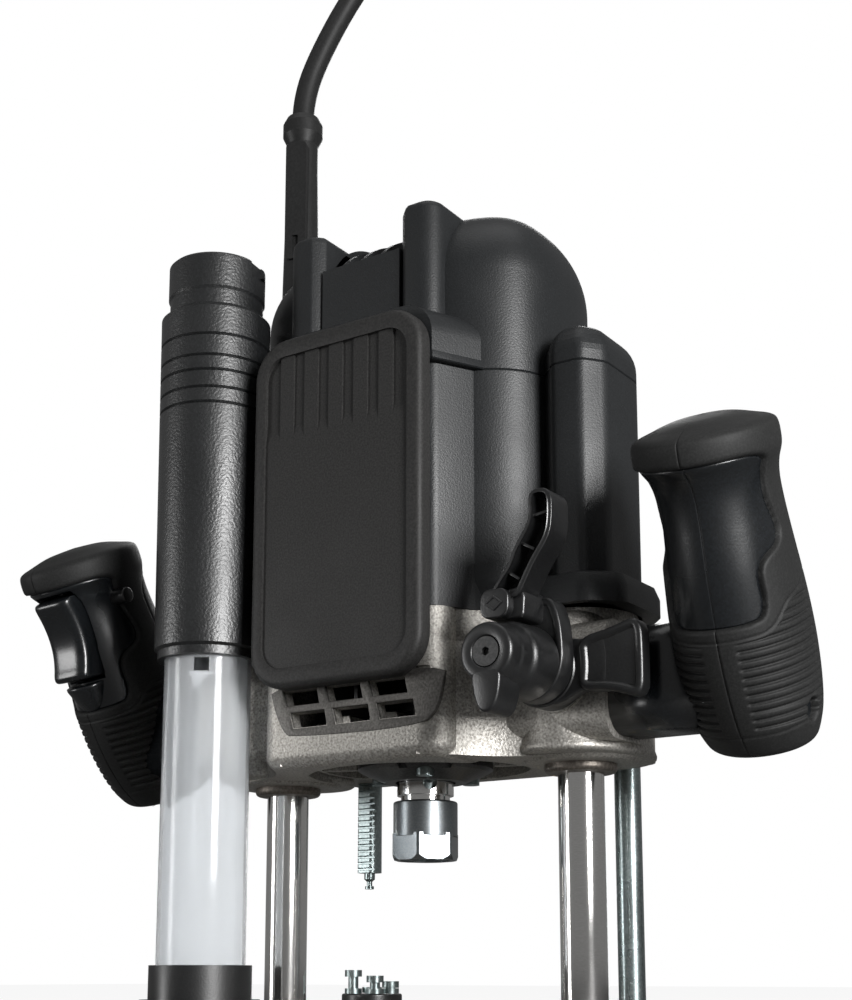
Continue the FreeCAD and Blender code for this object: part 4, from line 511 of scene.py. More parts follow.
def stem(bm, side):
    """The square arm between the casting and the handle."""
    made = bmesh.ops.create_cube(bm, size=1.0)["verts"]
    middle = (STEM_LOW + STEM_HIGH) / 2
    middle.x *= side
    bmesh.ops.scale(bm, verts=made, vec=STEM_HIGH - STEM_LOW)
    bmesh.ops.translate(bm, verts=made, vec=middle)
    edges = {e for v in made for e in v.link_edges}
    lengthwise = [e for e in edges if abs(e.verts[0].co.x - e.verts[1].co.x) > 0.01]
    round_edges(bm, lengthwise, STEM_ROUND, 10)


LIP_FORM = (
    (45, 0.2, 0.2, -21), (45.3, 4, 2.5, -21), (49, 6.4, 4.4, -21),
    (53, 7.8, 6.6, -20.6), (56, 8.8, 8.6, -20.2), (57.1, 9, 9, -20),
    (57.5, 8.6, 8.6, -20), (57.6, 4, 4, -20), (57.7, 0.2, 0.2, -20),
)


def oval_skin(form, rows, columns):
    """A closed skin of oval sections: height, half width, half depth, set-back."""
    line = eased(form, 2)
    heights = evenly(line, rows)[0]
    return rolled(rows, columns, lambda row, column: oval(
        line, heights[row], column * math.tau / columns))


for side, name in SIDES:
    core = handle_skin(core_relief)
    rubber = handle_skin(rubber_relief)
    if side < 0:
        open_front(core, True)
        open_front(rubber, False)
        join_in(core, oval_skin(LIP_FORM, 30, 48))
    for skin in (core, rubber):
        bmesh.ops.transform(skin, verts=skin.verts, matrix=seat(side))
    stem(core, side)
    link_piece("handle_core_" + name, core, "carriage", "gloss_moulding", ("handle_" + name,))
    link_piece("handle_rubber_" + name, rubber, "carriage", "soft_rubber", ("grip_" + name,))

# %% [markdown]
# ## The trigger and the lock button
# The trigger is hollowed to fit two fingers: its face curves in between a
# rounded top and a foot that turns outwards. Its section is a rectangle with
# rounded front corners, swept up the curve of the face.

# %% Trigger
# height and how far forward the face stands, in millimetres
TRIGGER_FACE = (
    (60, 25), (60.2, 28.5), (61.2, 30.2), (63, 30.2), (66.5, 28.2), (72, 26.2),
    (78, 25.6), (84, 26.2), (88.5, 27.4), (91, 28), (92.2, 27), (92.6, 24),
)
TRIGGER_BACK = 13.0
TRIGGER_WIDE = 9.4
TRIGGER_ROWS = 64
TRIGGER_COLUMNS = 72


def trigger_skin():
    """Rounded oblong sections, closed above and below."""
    heights, fronts = (np.pad(values, 2, mode="edge")
                       for values in evenly(eased(TRIGGER_FACE, 3), TRIGGER_ROWS - 4))
    shrink = np.ones(TRIGGER_ROWS)
    shrink[[0, -1]] = 0.0
    shrink[[1, -2]] = 0.5

    def place(row, column):
        turn = column * math.tau / TRIGGER_COLUMNS
        c, s = np.cos(turn), np.sin(turn)
        middle = (fronts[row] + TRIGGER_BACK) / 2
        deep = (fronts[row] - TRIGGER_BACK) / 2 * shrink[row]
        wide = TRIGGER_WIDE * shrink[row]
        x = wide * np.sign(s) * np.abs(s) ** 0.42
        y = -middle - deep * np.sign(c) * np.abs(c) ** 0.5
        return x / 1000, y / 1000, heights[row] / 1000
    return rolled(TRIGGER_ROWS, TRIGGER_COLUMNS, place)


trigger = trigger_skin()
bmesh.ops.transform(trigger, verts=trigger.verts, matrix=seat(-1))
link_piece("trigger_moulded", trigger, "trigger", "gloss_moulding", ("trigger",))

# %% [markdown]
# The lock button holds the trigger in. It is a short moulded pin, so a cone
# with two equal radii and rounded ends will do.

# %% Lock button
LOCK_TURN = Matrix.Translation((-0.0175, -0.007, 0.0865)) @ Matrix.Rotation(math.pi / 2, 4, "Y")
button = bmesh.new()
bmesh.ops.create_cone(button, segments=48, radius1=0.0031, radius2=0.0031, depth=0.011,
                      cap_ends=True)
ends = [e for e in button.edges if abs(e.verts[0].co.z - e.verts[1].co.z) < 1e-6]
round_edges(button, ends, 0.0007, 4)
bmesh.ops.transform(button, verts=button.verts, matrix=seat(-1) @ LOCK_TURN)
link_piece("lock_pin", button, "lock_button", "black_moulding", ("lock_button",))

# %% [markdown]
# ## The motor housing and its cap
# The housing is a wide, square-shouldered oval with a boxy front, and a
# faceted tower stands on each side of it round the top of a column. The cap
# carries the same plan up into a dome. Real housings are two mouldings that
# meet at a fine groove. Here the oval is a rolled skin, because its dome
# shrinks faster at the sides than in front, and the rest are plans that are
# extruded and bevelled. Lengths in these cells are in millimetres.

# %% Oval body
OVAL_HALF = 62.6
OVAL_FRONT = 40.9
OVAL_BACK = 59.6
OVAL_MIDDLE = 1.1
SQUARENESS = 3.07
DOME_TOP = 316.2
DOME_RISE = 31.8
DOME_INSET = 33.7
SIDE_SHARE = 0.84        # the dome leans in less at the sides
SEAM = 246.0
SEAM_EASE = 0.45
HOUSING_LOW = 160.0
OVAL_COLUMNS = 200


def oval_body(rows):
    """A closed skin from rows of height, inset and whether it is drawn to a point."""
    heights, insets, drawn = (np.array(values, float) for values in zip(*rows))

    def place(row, column):
        turn = column * math.tau / OVAL_COLUMNS
        s, c = np.sin(turn), np.cos(turn)
        front = c > 0
        power = np.where(front, 2 / SQUARENESS, 1.0)
        inset = insets[row]
        spread = 1 - drawn[row]
        depth = np.where(front, OVAL_FRONT, OVAL_BACK) - inset
        x = spread * (OVAL_HALF - SIDE_SHARE * inset) * np.sign(s) * np.abs(s) ** power
        y = OVAL_MIDDLE - spread * depth * np.sign(c) * np.abs(c) ** power
        return x, y, heights[row]
    return rolled(len(rows), OVAL_COLUMNS, place)


def prism(bm, plan, low, high):
    """A plan raised into a closed block."""
    base = bm.faces.new([bm.verts.new((x, y, low)) for x, y in plan])
    raised = bmesh.ops.extrude_face_region(bm, geom=[base], use_keep_orig=True)["geom"]
    bmesh.ops.translate(bm, verts=verts_of(raised), vec=(0, 0, high - low))


def soften(bm, radius, chosen, segments=5):
    """Rounds the edges that the test picks."""
    round_edges(bm, [e for e in bm.edges if chosen(e)], radius, segments)


def upright_edge(e):
    a, b = (v.co for v in e.verts)
    return abs(a.z - b.z) > 2 and math.hypot(a.x - b.x, a.y - b.y) < 0.01


def on_level(height):
    """A test for the edges and faces that lie at that height."""
    return lambda part: all(abs(v.co.z - height) < 0.01 for v in part.verts)


def level_faces(bm, height):
    return list(filter(on_level(height), bm.faces))


def dome(bm, high, rise, inset, centre, reach, steps=9):
    """Carries the top face on upwards in steps that draw it in, like a quarter circle."""
    top = level_faces(bm, high)[0]
    size, z = (1.0, 1.0), high
    for turn in np.radians(np.linspace(0, 90, steps + 1)[1:]):
        top = faces_of(bmesh.ops.extrude_face_region(bm, geom=[top])["geom"])[0]
        drawn = inset * (1 - math.cos(turn))
        wanted = (1 - drawn / reach[0], 1 - drawn / reach[1])
        bmesh.ops.scale(bm, verts=top.verts, vec=(wanted[0] / size[0], wanted[1] / size[1], 1),
                        space=Matrix.Translation((-centre[0], -centre[1], 0)))
        bmesh.ops.translate(bm, verts=top.verts, vec=(0, 0, high + rise * math.sin(turn) - z))
        size, z = wanted, high + rise * math.sin(turn)


def block(plan, low, high, corner=0.0, crown=0.0, foot=0.0, segments=6):
    """A prism whose upright corners, top and foot are rounded by these radii."""
    part = bmesh.new()
    prism(part, plan, low, high)
    if corner:
        soften(part, corner, upright_edge)
    if crown:
        soften(part, crown, on_level(high), segments)
    if foot:
        soften(part, foot, on_level(low), 1)
    return part


def oblong(half, low, high):
    return (-half, low), (half, low), (half, high), (-half, high)


def mirrored(plan, side):
    return [(side * x, y) for x, y in plan]


def to_metres(bm):
    bmesh.ops.scale(bm, verts=bm.verts, vec=(0.001, 0.001, 0.001))


def stand_up(name, bm, body, slot, stands_for=(), at=(0, 0), crease=35):
    """Moves a form that lies on its back to its place, stands it up and makes it a piece."""
    bmesh.ops.translate(bm, verts=bm.verts, vec=(*at, 0))
    bmesh.ops.rotate(bm, verts=bm.verts, matrix=Matrix.Rotation(math.pi / 2, 3, "X"))
    to_metres(bm)
    link_piece(name, bm, body, slot, stands_for, crease)


print("oval body", 2 * OVAL_HALF, "mm wide")

# %% [markdown]
# ### Lower housing
# The front box widens towards the back until it meets the oval. Each tower is
# flat in front with one broad facet, and flares into a skirt on its boss.

# %% Lower housing
FRONT_BOX = ((-35.5, -50), (35.5, -50), (44.5, -33), (44.5, -5), (-44.5, -5), (-44.5, -33))
TOWER_PLAN = ((68.2, -23.8), (79.3, -23.8), (85.5, -15.8), (85.5, 8.0), (79.0, 20.0),
              (54, 22), (50, -2), (65.6, -20.8))
SKIRT_PLAN = ((58.0, -27.0), (80.5, -27.0), (91.5, -18.0), (91.5, 11.0), (82.0, 22.5),
              (50, 22), (50, -10))
SKIRT_TOP = 172.0

lower = oval_body([(HOUSING_LOW, 4.5, 1), (HOUSING_LOW, 4.5, 0), (164.0, 3.0, 0),
                   (169.0, 0.4, 0), (171.0, 0, 0), (SEAM - SEAM_EASE, 0, 0),
                   (SEAM, SEAM_EASE, 0), (SEAM, SEAM_EASE, 1)])
join_in(lower, block(FRONT_BOX, HOUSING_LOW, SEAM, 3.0, SEAM_EASE, segments=1))
for side in (-1, 1):
    join_in(lower, block(mirrored(TOWER_PLAN, side), HOUSING_LOW, SEAM, 2.2, SEAM_EASE,
                         segments=1))
    join_in(lower, block(mirrored(SKIRT_PLAN, side), HOUSING_LOW, SKIRT_TOP, 3.0, 6.0,
                         segments=2))
to_metres(lower)
link_piece("lower_shell", lower, "carriage", "housing_moulding", ("motor_housing",), 35)

# %% [markdown]
# ### Cap
# The dome is opened between two posts for the air grille. A hood bows over
# the front cover and ends in a thin stepped lip on each side.

# %% Opening for the grille
WELL_HALF = 17.3
WELL_BACK = -2.0
WELL_FLOOR = 272.0


def sink_well(bm):
    """Cuts a rectangular opening into the dome and gives it walls and a floor."""
    cut_along(bm, across(0, -WELL_HALF, WELL_HALF) + across(1, WELL_BACK)
              + across(2, WELL_FLOOR))
    cut_away(bm, lambda x, y, z: abs(x) < WELL_HALF and y < WELL_BACK and z > WELL_FLOOR)
    line_opening(bm, 2, WELL_FLOOR, 1e-4)


print("opening", 2 * WELL_HALF, "mm wide")

# %% [markdown]
# The hood is an arch that is extruded backwards and scaled on its way, because
# the real one widens to the shoulder. A post stands on each side of the
# grille: a prism whose corners are rounded one kind at a time.

# %% Hood and posts
HOOD_PLAN = ((-37.7, -52.2), (37.7, -52.2), (46.8, -34), (46.8, -8), (-46.8, -8), (-46.8, -34))
HOOD_TOP = 268.0
HOOD_ROUND = 12.0
LIP = 3.0
LIP_PROUD = 0.8
POST_PLAN = ((17.3, 0), (17.3, -41), (21.3, -45), (33.5, -45), (33.5, 0))
POST_TOP = 311.0


def arch(half, low, high, radius):
    """Outline of the hood as it is seen from the front."""
    points = [(-half, low)]
    for middle, start in ((-half + radius, 180), (half - radius, 90)):
        for turn in np.radians(np.linspace(start, start - 90, 9)):
            points.append((middle + radius * math.cos(turn),
                           high - radius + radius * math.sin(turn)))
    return points + [(half, low)]


def hood():
    """The arch runs back, widens to the shoulder and goes on into the oval."""
    part = bmesh.new()
    (_, front), (half, _), (wider, shoulder), (_, back) = HOOD_PLAN[:4]
    half, wider, front = half - LIP_PROUD, wider - LIP_PROUD, front + LIP_PROUD
    outline = arch(half, SEAM + LIP - 0.5, HOOD_TOP, HOOD_ROUND)
    end = part.faces.new([part.verts.new((x, front, z)) for x, z in outline])
    for run, widening in ((shoulder - front, wider / half), (back - shoulder, 1.0)):
        end = faces_of(bmesh.ops.extrude_face_region(
            part, geom=[end], use_keep_orig=widening > 1)["geom"])[0]
        bmesh.ops.scale(part, verts=end.verts, vec=(widening, 1, 1))
        bmesh.ops.translate(part, verts=end.verts, vec=(0, run, 0))
    return part


def post(side):
    """Beside the grille: bevelled towards it, round on the outer corner."""
    part = block(mirrored(POST_PLAN, side), SEAM + 6, POST_TOP)
    soften(part, 7.0, lambda e: upright_edge(e) and abs(abs(e.verts[0].co.x) - 33.5) < 0.01
           and e.verts[0].co.y < -40, 8)
    soften(part, 0.7, lambda e: upright_edge(e) and abs(e.verts[0].co.x) < 22, 2)
    soften(part, 3.2, on_level(POST_TOP), 4)
    return part


print("posts", POST_TOP, "mm high")

# %% [markdown]
# The real cap is one moulding. Here its dome, tower tops, posts and hood are
# closed shells that run into each other, which keeps each of them simple.

# %% Cap
TOWER_TOP = 262.5
TOWER_DOME = 12.5
cap = oval_body(
    [(SEAM, SEAM_EASE, 1), (SEAM, SEAM_EASE, 0), (SEAM + SEAM_EASE, 0, 0)]
    + [(DOME_TOP - DOME_RISE * (1 - math.sin(t)), DOME_INSET * (1 - math.cos(t)), 0)
       for t in np.radians(np.linspace(0, 90, 22))]
    + [(DOME_TOP, DOME_INSET, 1)])
sink_well(cap)
for side in (-1, 1):
    tower = block(mirrored(TOWER_PLAN, side), SEAM, TOWER_TOP - TOWER_DOME, 2.2, 0, SEAM_EASE)
    dome(tower, TOWER_TOP - TOWER_DOME, TOWER_DOME, TOWER_DOME, (side * 72, 0), (15, 24))
    join_in(cap, tower)
    join_in(cap, post(side))
join_in(cap, hood())
join_in(cap, block(HOOD_PLAN, SEAM, SEAM + LIP, 0, 0.4, 0.4, segments=2))
join_in(cap, block(oblong(24, -46, -30), HOOD_TOP - 5, WELL_FLOOR, 0.8, 2.0))
to_metres(cap)
link_piece("cap_shell", cap, "carriage", "housing_moulding", ("top_cap",), 35)

# %% [markdown]
# ### Front cover
# The cover is a plate with well rounded corners. Its panel lies a little
# deeper than the rim, and six vertical channels sink into the top of the
# panel and rise again in a short ramp. The plate is modelled lying flat and
# is then stood up, so its height becomes the depth in front.

# %% Front cover
COVER_HALF = 36.6
COVER_LOW = 136.0
COVER_HIGH = 265.0
COVER_BACK = 50.0
COVER_SEAT = 52.2
COVER_FRONT = 58.4
COVER_CORNER = 14.0
COVER_EDGE = 2.4
COVER_RIM = 5.2
RIM_END_EXTRA = 1.4
PANEL_DEPTH = 0.9
BAND = 6.0
CHANNEL = 4.85
CHANNEL_DEPTH = 0.75
CHANNEL_FOOT = 226.5
RAMP_TOP = 231.5
PANEL_LIP = 0.12
PANEL_SLOPE = 0.35


def in_channel(x):
    """Bands stand at whole steps from the middle; the rest is channel."""
    pitch = BAND + CHANNEL
    return abs(x - pitch * min(max(round(x / pitch), -2), 2)) > BAND / 2


def cover_plate():
    part = block(oblong(COVER_HALF, COVER_LOW, COVER_HIGH), COVER_SEAT, COVER_FRONT)
    soften(part, COVER_CORNER, upright_edge, 10)
    soften(part, COVER_EDGE, on_level(COVER_FRONT), 5)
    panel = level_faces(part, COVER_FRONT)
    bmesh.ops.inset_region(part, faces=panel, thickness=COVER_RIM - COVER_EDGE)
    middle = (COVER_LOW + COVER_HIGH) / 2
    for v in {v for f in panel for v in f.verts}:
        v.co.y += math.copysign(RIM_END_EXTRA, middle - v.co.y)
    bmesh.ops.inset_region(part, faces=panel, thickness=PANEL_SLOPE, depth=-PANEL_LIP)
    sink(part, panel, PANEL_DEPTH)
    level = COVER_FRONT - PANEL_LIP - PANEL_DEPTH
    bands = [side * ((BAND + CHANNEL) * i + edge)
             for side in (-1, 1) for i in (0, 1, 2) for edge in (-BAND / 2, BAND / 2)]
    cut_along(part, across(0, *bands) + across(1, RAMP_TOP, CHANNEL_FOOT),
              lambda x, y, z: abs(z - level) < 1e-3)
    sunk = [f for f in level_faces(part, level) if in_channel(f.calc_center_median().x)
            and f.calc_center_median().y > CHANNEL_FOOT]
    for v in sink(part, sunk, 0):
        if v.co.y > CHANNEL_FOOT + 0.01:
            v.co.z -= CHANNEL_DEPTH
    return part


cover = cover_plate()
join_in(cover, block(oblong(33.5, 140, 261), COVER_BACK, COVER_SEAT + 0.3, 11.0))
stand_up("cover_plate", cover, "carriage", "cover_moulding", ("front_cover",))

# %% [markdown]
# ### Casting details
# A swelling stands round each column and flares into a thin foot. Its foot
# is open where the column and its bush pass through.

# %% Column swellings
# height, half width, half depth, set-back of the middle
SWELLING = (
    (110.4, 0.2, 0.2, 2), (110.5, 19, 26, 2), (110.8, 22.6, 30, 2),
    (112.4, 23, 30.6, 2), (114, 22.2, 29.8, 2), (117.5, 21.4, 29.4, 2),
    (124, 21.2, 29.2, 2), (140, 20.8, 28.6, 2), (152, 19.8, 27.4, 2),
    (158.5, 18.4, 26, 2), (159.4, 15, 22, 2), (159.5, 0.2, 0.2, 2),
)
COLUMN_X = 0.0645
SWELLING_X = 0.0655
FOOT_BORE = 0.0125
FOOT_UNDER = 0.1107
for side, name in SIDES:
    swelling = oval_skin(SWELLING, 90, 96)
    bmesh.ops.translate(swelling, verts=swelling.verts, vec=(side * SWELLING_X, 0, 0))
    cut_away(swelling, lambda x, y, z: z < FOOT_UNDER
             and math.hypot(x - side * COLUMN_X, y) < FOOT_BORE)
    link_piece("column_swelling_" + name, swelling, "carriage", "metallic_paint")

# %% [markdown]
# The motor blows its air out through slots in the front of the casting. A
# flat face is cut along the walls of every slot, the faces inside are
# deleted, and the rest is extruded. This gives clean corners.

# %% Vent panel
VENT_PLAN = ((-33.5, 139.6), (-31.5, 130.5), (-27.0, 121.5), (-23.0, 119.4), (31.0, 118.6),
             (38, 123.5), (40.5, 132), (41.5, 139.6))
VENT_FACE = 50.15
VENT_BACK = 48.9
SLOT_ROWS = ((-27.5, 136.6), (-24.0, 128.4))
SLOT_WIDE = 15.0
SLOT_HIGH = 5.6
SLOT_STEP = 18.6


def slot_walls(x, z):
    """Point and normal of the two slanting sides and the two level ones."""
    return (((x, z, 0), (SLOT_HIGH, 1.6, 0)), ((x + SLOT_WIDE, z, 0), (SLOT_HIGH, 1.2, 0)),
            ((x, z, 0), (0, 1, 0)), ((x, z - SLOT_HIGH, 0), (0, 1, 0)))


def inside_slot(x, z, across_at, up_at):
    left, right, top, foot = ((across_at - at[0]) * out[0] + (up_at - at[1]) * out[1]
                              for at, out in slot_walls(x, z))
    return left > 0 > right and foot > 0 > top


vent = bmesh.new()
outline = eased(VENT_PLAN, 2, closed=True).tolist()
vent.faces.new([vent.verts.new((x, z, VENT_BACK)) for x, z in outline])
slots_at = [(x + SLOT_STEP * i, z) for x, z in SLOT_ROWS for i in range(3)]
cut_along(vent, [wall for at in slots_at for wall in slot_walls(*at)])
cut_away(vent, lambda x, y, z: any(inside_slot(*at, x, y) for at in slots_at))
grown = bmesh.ops.extrude_face_region(vent, geom=list(vent.faces), use_keep_orig=True)["geom"]
bmesh.ops.translate(vent, verts=verts_of(grown), vec=(0, 0, VENT_FACE - VENT_BACK))
bmesh.ops.dissolve_limit(vent, angle_limit=0.01, verts=vent.verts, edges=vent.edges)
mouths = [e for e in filter(on_level(VENT_FACE), vent.edges)
          if len(e.link_faces) == 2 and abs(e.calc_face_angle(0)) > 1.0]
round_edges(vent, mouths, 0.5, 3)
stand_up("vent_panel", vent, "carriage", "metallic_paint")

# %% [markdown]
# ## The lever group
# One pin carries a clamp lever with a dished paddle, a cored lever that
# selects the height drive, and a stepped knob with a pointer. Each is built
# lying on its back round the pin, with its depth in front as the height, and
# is then stood up. Lengths in these cells are in millimetres.

# %% Lever group helpers
PIN_AT = (70.0, 136.0)


def lathe(profile, columns=64):
    """A turned form from rows of depth and radius."""
    line = np.array(profile, float)

    def place(row, column):
        turn = column * math.tau / columns
        return line[row, 1] * np.cos(turn), line[row, 1] * np.sin(turn), line[row, 0]
    return rolled(len(line), columns, place)


def plate(plan, low, high, crown, rounds=2, segments=3):
    """A block with an eased outline and a rounded front edge."""
    return block(eased(plan, rounds, closed=True).tolist(), low, high, 0, crown,
                 segments=segments)


def dished(part, high, rim, depth):
    """Lowers the front face inside a rim and rounds the edge of the hollow."""
    face = level_faces(part, high)
    bmesh.ops.inset_region(part, faces=face, thickness=rim)
    bmesh.ops.inset_region(part, faces=face, thickness=depth * 0.5, depth=-depth * 0.3)
    bmesh.ops.inset_region(part, faces=face, thickness=depth * 0.5, depth=-depth * 0.7)


def on_pin(name, bm, node):
    """The form stands on the pin and takes the place of its node, on the body of that name."""
    stand_up(name, bm, node, "black_moulding", (node,), PIN_AT, 40)


print("levers turn about", PIN_AT)

# %% [markdown]
# The knob locks the depth rod. The real one is turned, so it is rolled from
# rings here, with a recess for the pin's head. Its pointer is a plate.

# %% Knob
KNOB_PROFILE = (
    (46.5, 0.1), (46.5, 11.6), (46.8, 12.2), (47.4, 12.4), (56.6, 12), (58.6, 11.8),
    (59.4, 11.5), (60, 11), (60.6, 10.6), (61.4, 10.4), (64.6, 10.2), (65.4, 10),
    (66, 9.7), (66.8, 9.6), (70.4, 9.5), (71.3, 9.2), (71.8, 8.7), (72, 8),
    (72, 5.5), (71.8, 5.1), (71.4, 4.9), (69, 4.9), (69, 0.1),
)
POINTER = ((-5.6, -5), (-4.6, -13.5), (-2.4, -19), (2.4, -19), (4.8, -13.5), (5.4, -5),
           (0, -5.5))
knob = lathe(KNOB_PROFILE)
join_in(knob, plate(POINTER, 59.5, 72.05, 1.0))
on_pin("pointer_knob", knob, "depth_lock_knob")

# %% [markdown]
# A moulded lever is hollow in front, with thin ribs, to keep its walls even.
# The arm's front is inset and sunk, and the ribs are blocks set into it. A
# neck and a square eye join it to the flange behind the knob.

# %% Select lever
ARM_PLAN = (
    (-7, 20.5), (-2.5, 26.5), (0.9, 30.4), (2.8, 35.4), (7.5, 42), (8.7, 46), (8.2, 50),
    (9.4, 53.9), (16.8, 53.2), (17, 43), (15.6, 37), (11, 31), (7.5, 25), (4, 18.5),
)
ARM_HOLLOW = 7
ARM_RIBS = ((1.6, 27.2, 35), (6.9, 36.0, 30), (12.4, 45.5, -8))
FLANGE_PLAN = ((-9, -9), (0, -12.8), (9, -9), (12.8, -1), (12.6, 8), (11.4, 16), (8.6, 21.8),
               (2.6, 21.4), (-2, 14), (-9, 9), (-12.8, 0))
EYE_PLAN = ((-8.6, 13), (1.9, 13), (1.9, 22.6), (-8.6, 22.6))
NECK_PLAN = ((-6.0, 12.9), (5.4, 12.9), (6.0, 20.5), (4.0, 23.5), (-6.2, 21.5))
arm = plate(ARM_PLAN, 48, 59, 0.45)
rim = level_faces(arm, 59)
bmesh.ops.inset_region(arm, faces=rim, thickness=0.75)
bmesh.ops.inset_region(arm, faces=rim, thickness=0.25, depth=-0.25)
sink(arm, rim, ARM_HOLLOW)
for x, z, turn in ARM_RIBS:
    rib = block(oblong(3.6, -0.45, 0.45), 51, 58.2, 0, 0.15, segments=2)
    spin = Matrix.Rotation(math.radians(-turn), 4, "Z")
    bmesh.ops.transform(rib, verts=rib.verts, matrix=Matrix.Translation((x, z, 0)) @ spin)
    join_in(arm, rib)
flange = plate(FLANGE_PLAN, 38.0, 45.6, 0.9)
dished(flange, 45.6, 1.2, 0.6)
join_in(arm, flange)
join_in(arm, block(EYE_PLAN, 48, 61, 3.4, 0.7))
join_in(arm, block(NECK_PLAN, 43.5, 57.5, 1.5, 1.0))
mark = block(((-6.6, 17.8), (-3.3, 15.2), (0, 17.8), (-3.3, 20.4)), 60.9, 61.4, 0, 0.15,
             segments=1)
dished(mark, 61.4, 0.5, 0.3)
join_in(arm, mark)
on_pin("cored_lever", arm, "select_lever")

# %% [markdown]
# The clamp lever holds the plunge. It is a hub with a short wing, and three
# insets dish its paddle for the thumb.

# %% Clamp lever
WING_PLAN = ((-4, -12), (6.5, -12.2), (14, -8.4), (20, -7.6), (24, -8), (24, 9), (19, 8.4),
             (14, 8.6), (6, 10.4), (-4, 10))
PADDLE_PLAN = ((13.4, -8.6), (25, -9.0), (36.6, -13.4), (36.9, 0), (36.4, 14.4), (25, 10.8),
               (13.4, 8.8), (14.4, 0))
wing = lathe(((28.5, 0.1), (28.5, 12.6), (36.4, 12.6), (37.0, 12.0), (37.0, 0.1)))
join_in(wing, plate(WING_PLAN, 32.4, 36.6, 0.9))
paddle = plate(PADDLE_PLAN, 32.2, 37.6, 1.1, 3)
dished(paddle, 37.6, 0.9, 1.1)
join_in(wing, paddle)
on_pin("paddle_lever", wing, "clamp_lever")

# %% [markdown]
# ### Return springs
# A long coil stands in each hollow column and reaches up to the tower's roof.
# It rides on no body, so the coil keeps its length when the router plunges.

# %% Return springs
SPRING_LOW = 0.0466
SPRING_HIGH = 0.2539
SPRING_COIL = 0.00435
SPRING_WIRE = 0.00055
SPRING_TURNS = 46
SPRING_ROWS = SPRING_TURNS * 14 + 1
SPRING_SIDES = 8


def spring_coil(side):
    """A round wire wound up the column's axis."""
    def place(row, column):
        along = row / (SPRING_ROWS - 1)
        turn = math.tau * SPRING_TURNS * along
        about = math.tau * column / SPRING_SIDES
        wire = SPRING_WIRE * np.where((row == 0) | (row == SPRING_ROWS - 1), 0.0, 1.0)
        reach = SPRING_COIL + wire * np.cos(about)
        z = SPRING_LOW + (SPRING_HIGH - SPRING_LOW) * along + wire * np.sin(about)
        return side * COLUMN_X + reach * np.cos(turn), reach * np.sin(turn), z
    return rolled(SPRING_ROWS, SPRING_SIDES, place)


for side, name in SIDES:
    coil = link_piece("spring_coil_" + name, spring_coil(side), None, "spring_steel",
                      ("return_spring_" + name,))
    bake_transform(coil)

# %% [markdown]
# ## Finishes
# Every finish is a small tree of nodes on object coordinates, so its grain
# has a true size in metres and stays put when the camera moves. The helper
# mixes two tones with a fine noise, varies the gloss with a broader one, and
# turns the fine noise into bumps.

# %% Finish helper
def new_material(name):
    """A material, its tree of nodes and its shader."""
    material = bpy.data.materials.new(name)
    material.use_nodes = True
    return material, material.node_tree, material.node_tree.nodes["Principled BSDF"]


def put(node, **values):
    """Sets the inputs of a node; an underscore stands for a space in the name."""
    for key, value in values.items():
        node.inputs[key.replace("_", " ")].default_value = value


def noise(tree, size, detail=2.0, stretch=(1, 1, 1)):
    """A noise whose grains are about that size in metres."""
    place = tree.nodes.new("ShaderNodeMapping")
    put(place, Scale=stretch)
    where = tree.nodes.new("ShaderNodeTexCoord")
    tree.links.new(where.outputs["Object"], place.inputs["Vector"])
    texture = tree.nodes.new("ShaderNodeTexNoise")
    put(texture, Scale=0.6 / size, Detail=detail)
    tree.links.new(place.outputs["Vector"], texture.inputs["Vector"])
    return texture.outputs["Fac"]


def ramp(tree, value, low, high, first, last):
    """Maps a noise between two levels onto two colours."""
    node = tree.nodes.new("ShaderNodeValToRGB")
    node.color_ramp.elements[0].position = low
    node.color_ramp.elements[1].position = high
    node.color_ramp.elements[0].color = (*first, 1)
    node.color_ramp.elements[1].color = (*last, 1)
    tree.links.new(value, node.inputs["Fac"])
    return node.outputs["Color"]


def grey(level):
    return (level, level, level)


def finish(name, dark, light, rough, metal=0.0, grain=0.0006, bump=0.00003,
           levels=(0.4, 0.65), rough_spread=0.06, stretch=(1, 1, 1), specular=0.5):
    """A finish with two mixed tones, a bumpy grain and uneven gloss."""
    material, tree, shader = new_material(name)
    fine = noise(tree, grain, 2.0, stretch)
    broad = noise(tree, 0.02, 3.0)
    tree.links.new(ramp(tree, fine, *levels, dark, light), shader.inputs["Base Color"])
    gloss = ramp(tree, broad, 0.3, 0.7, grey(max(rough - rough_spread, 0.02)),
                 grey(rough + rough_spread))
    tree.links.new(gloss, shader.inputs["Roughness"])
    lift = tree.nodes.new("ShaderNodeBump")
    put(lift, Distance=bump, Strength=1.0)
    tree.links.new(fine, lift.inputs["Height"])
    tree.links.new(lift.outputs["Normal"], shader.inputs["Normal"])
    put(shader, Metallic=metal, Specular_IOR_Level=specular)
    return material


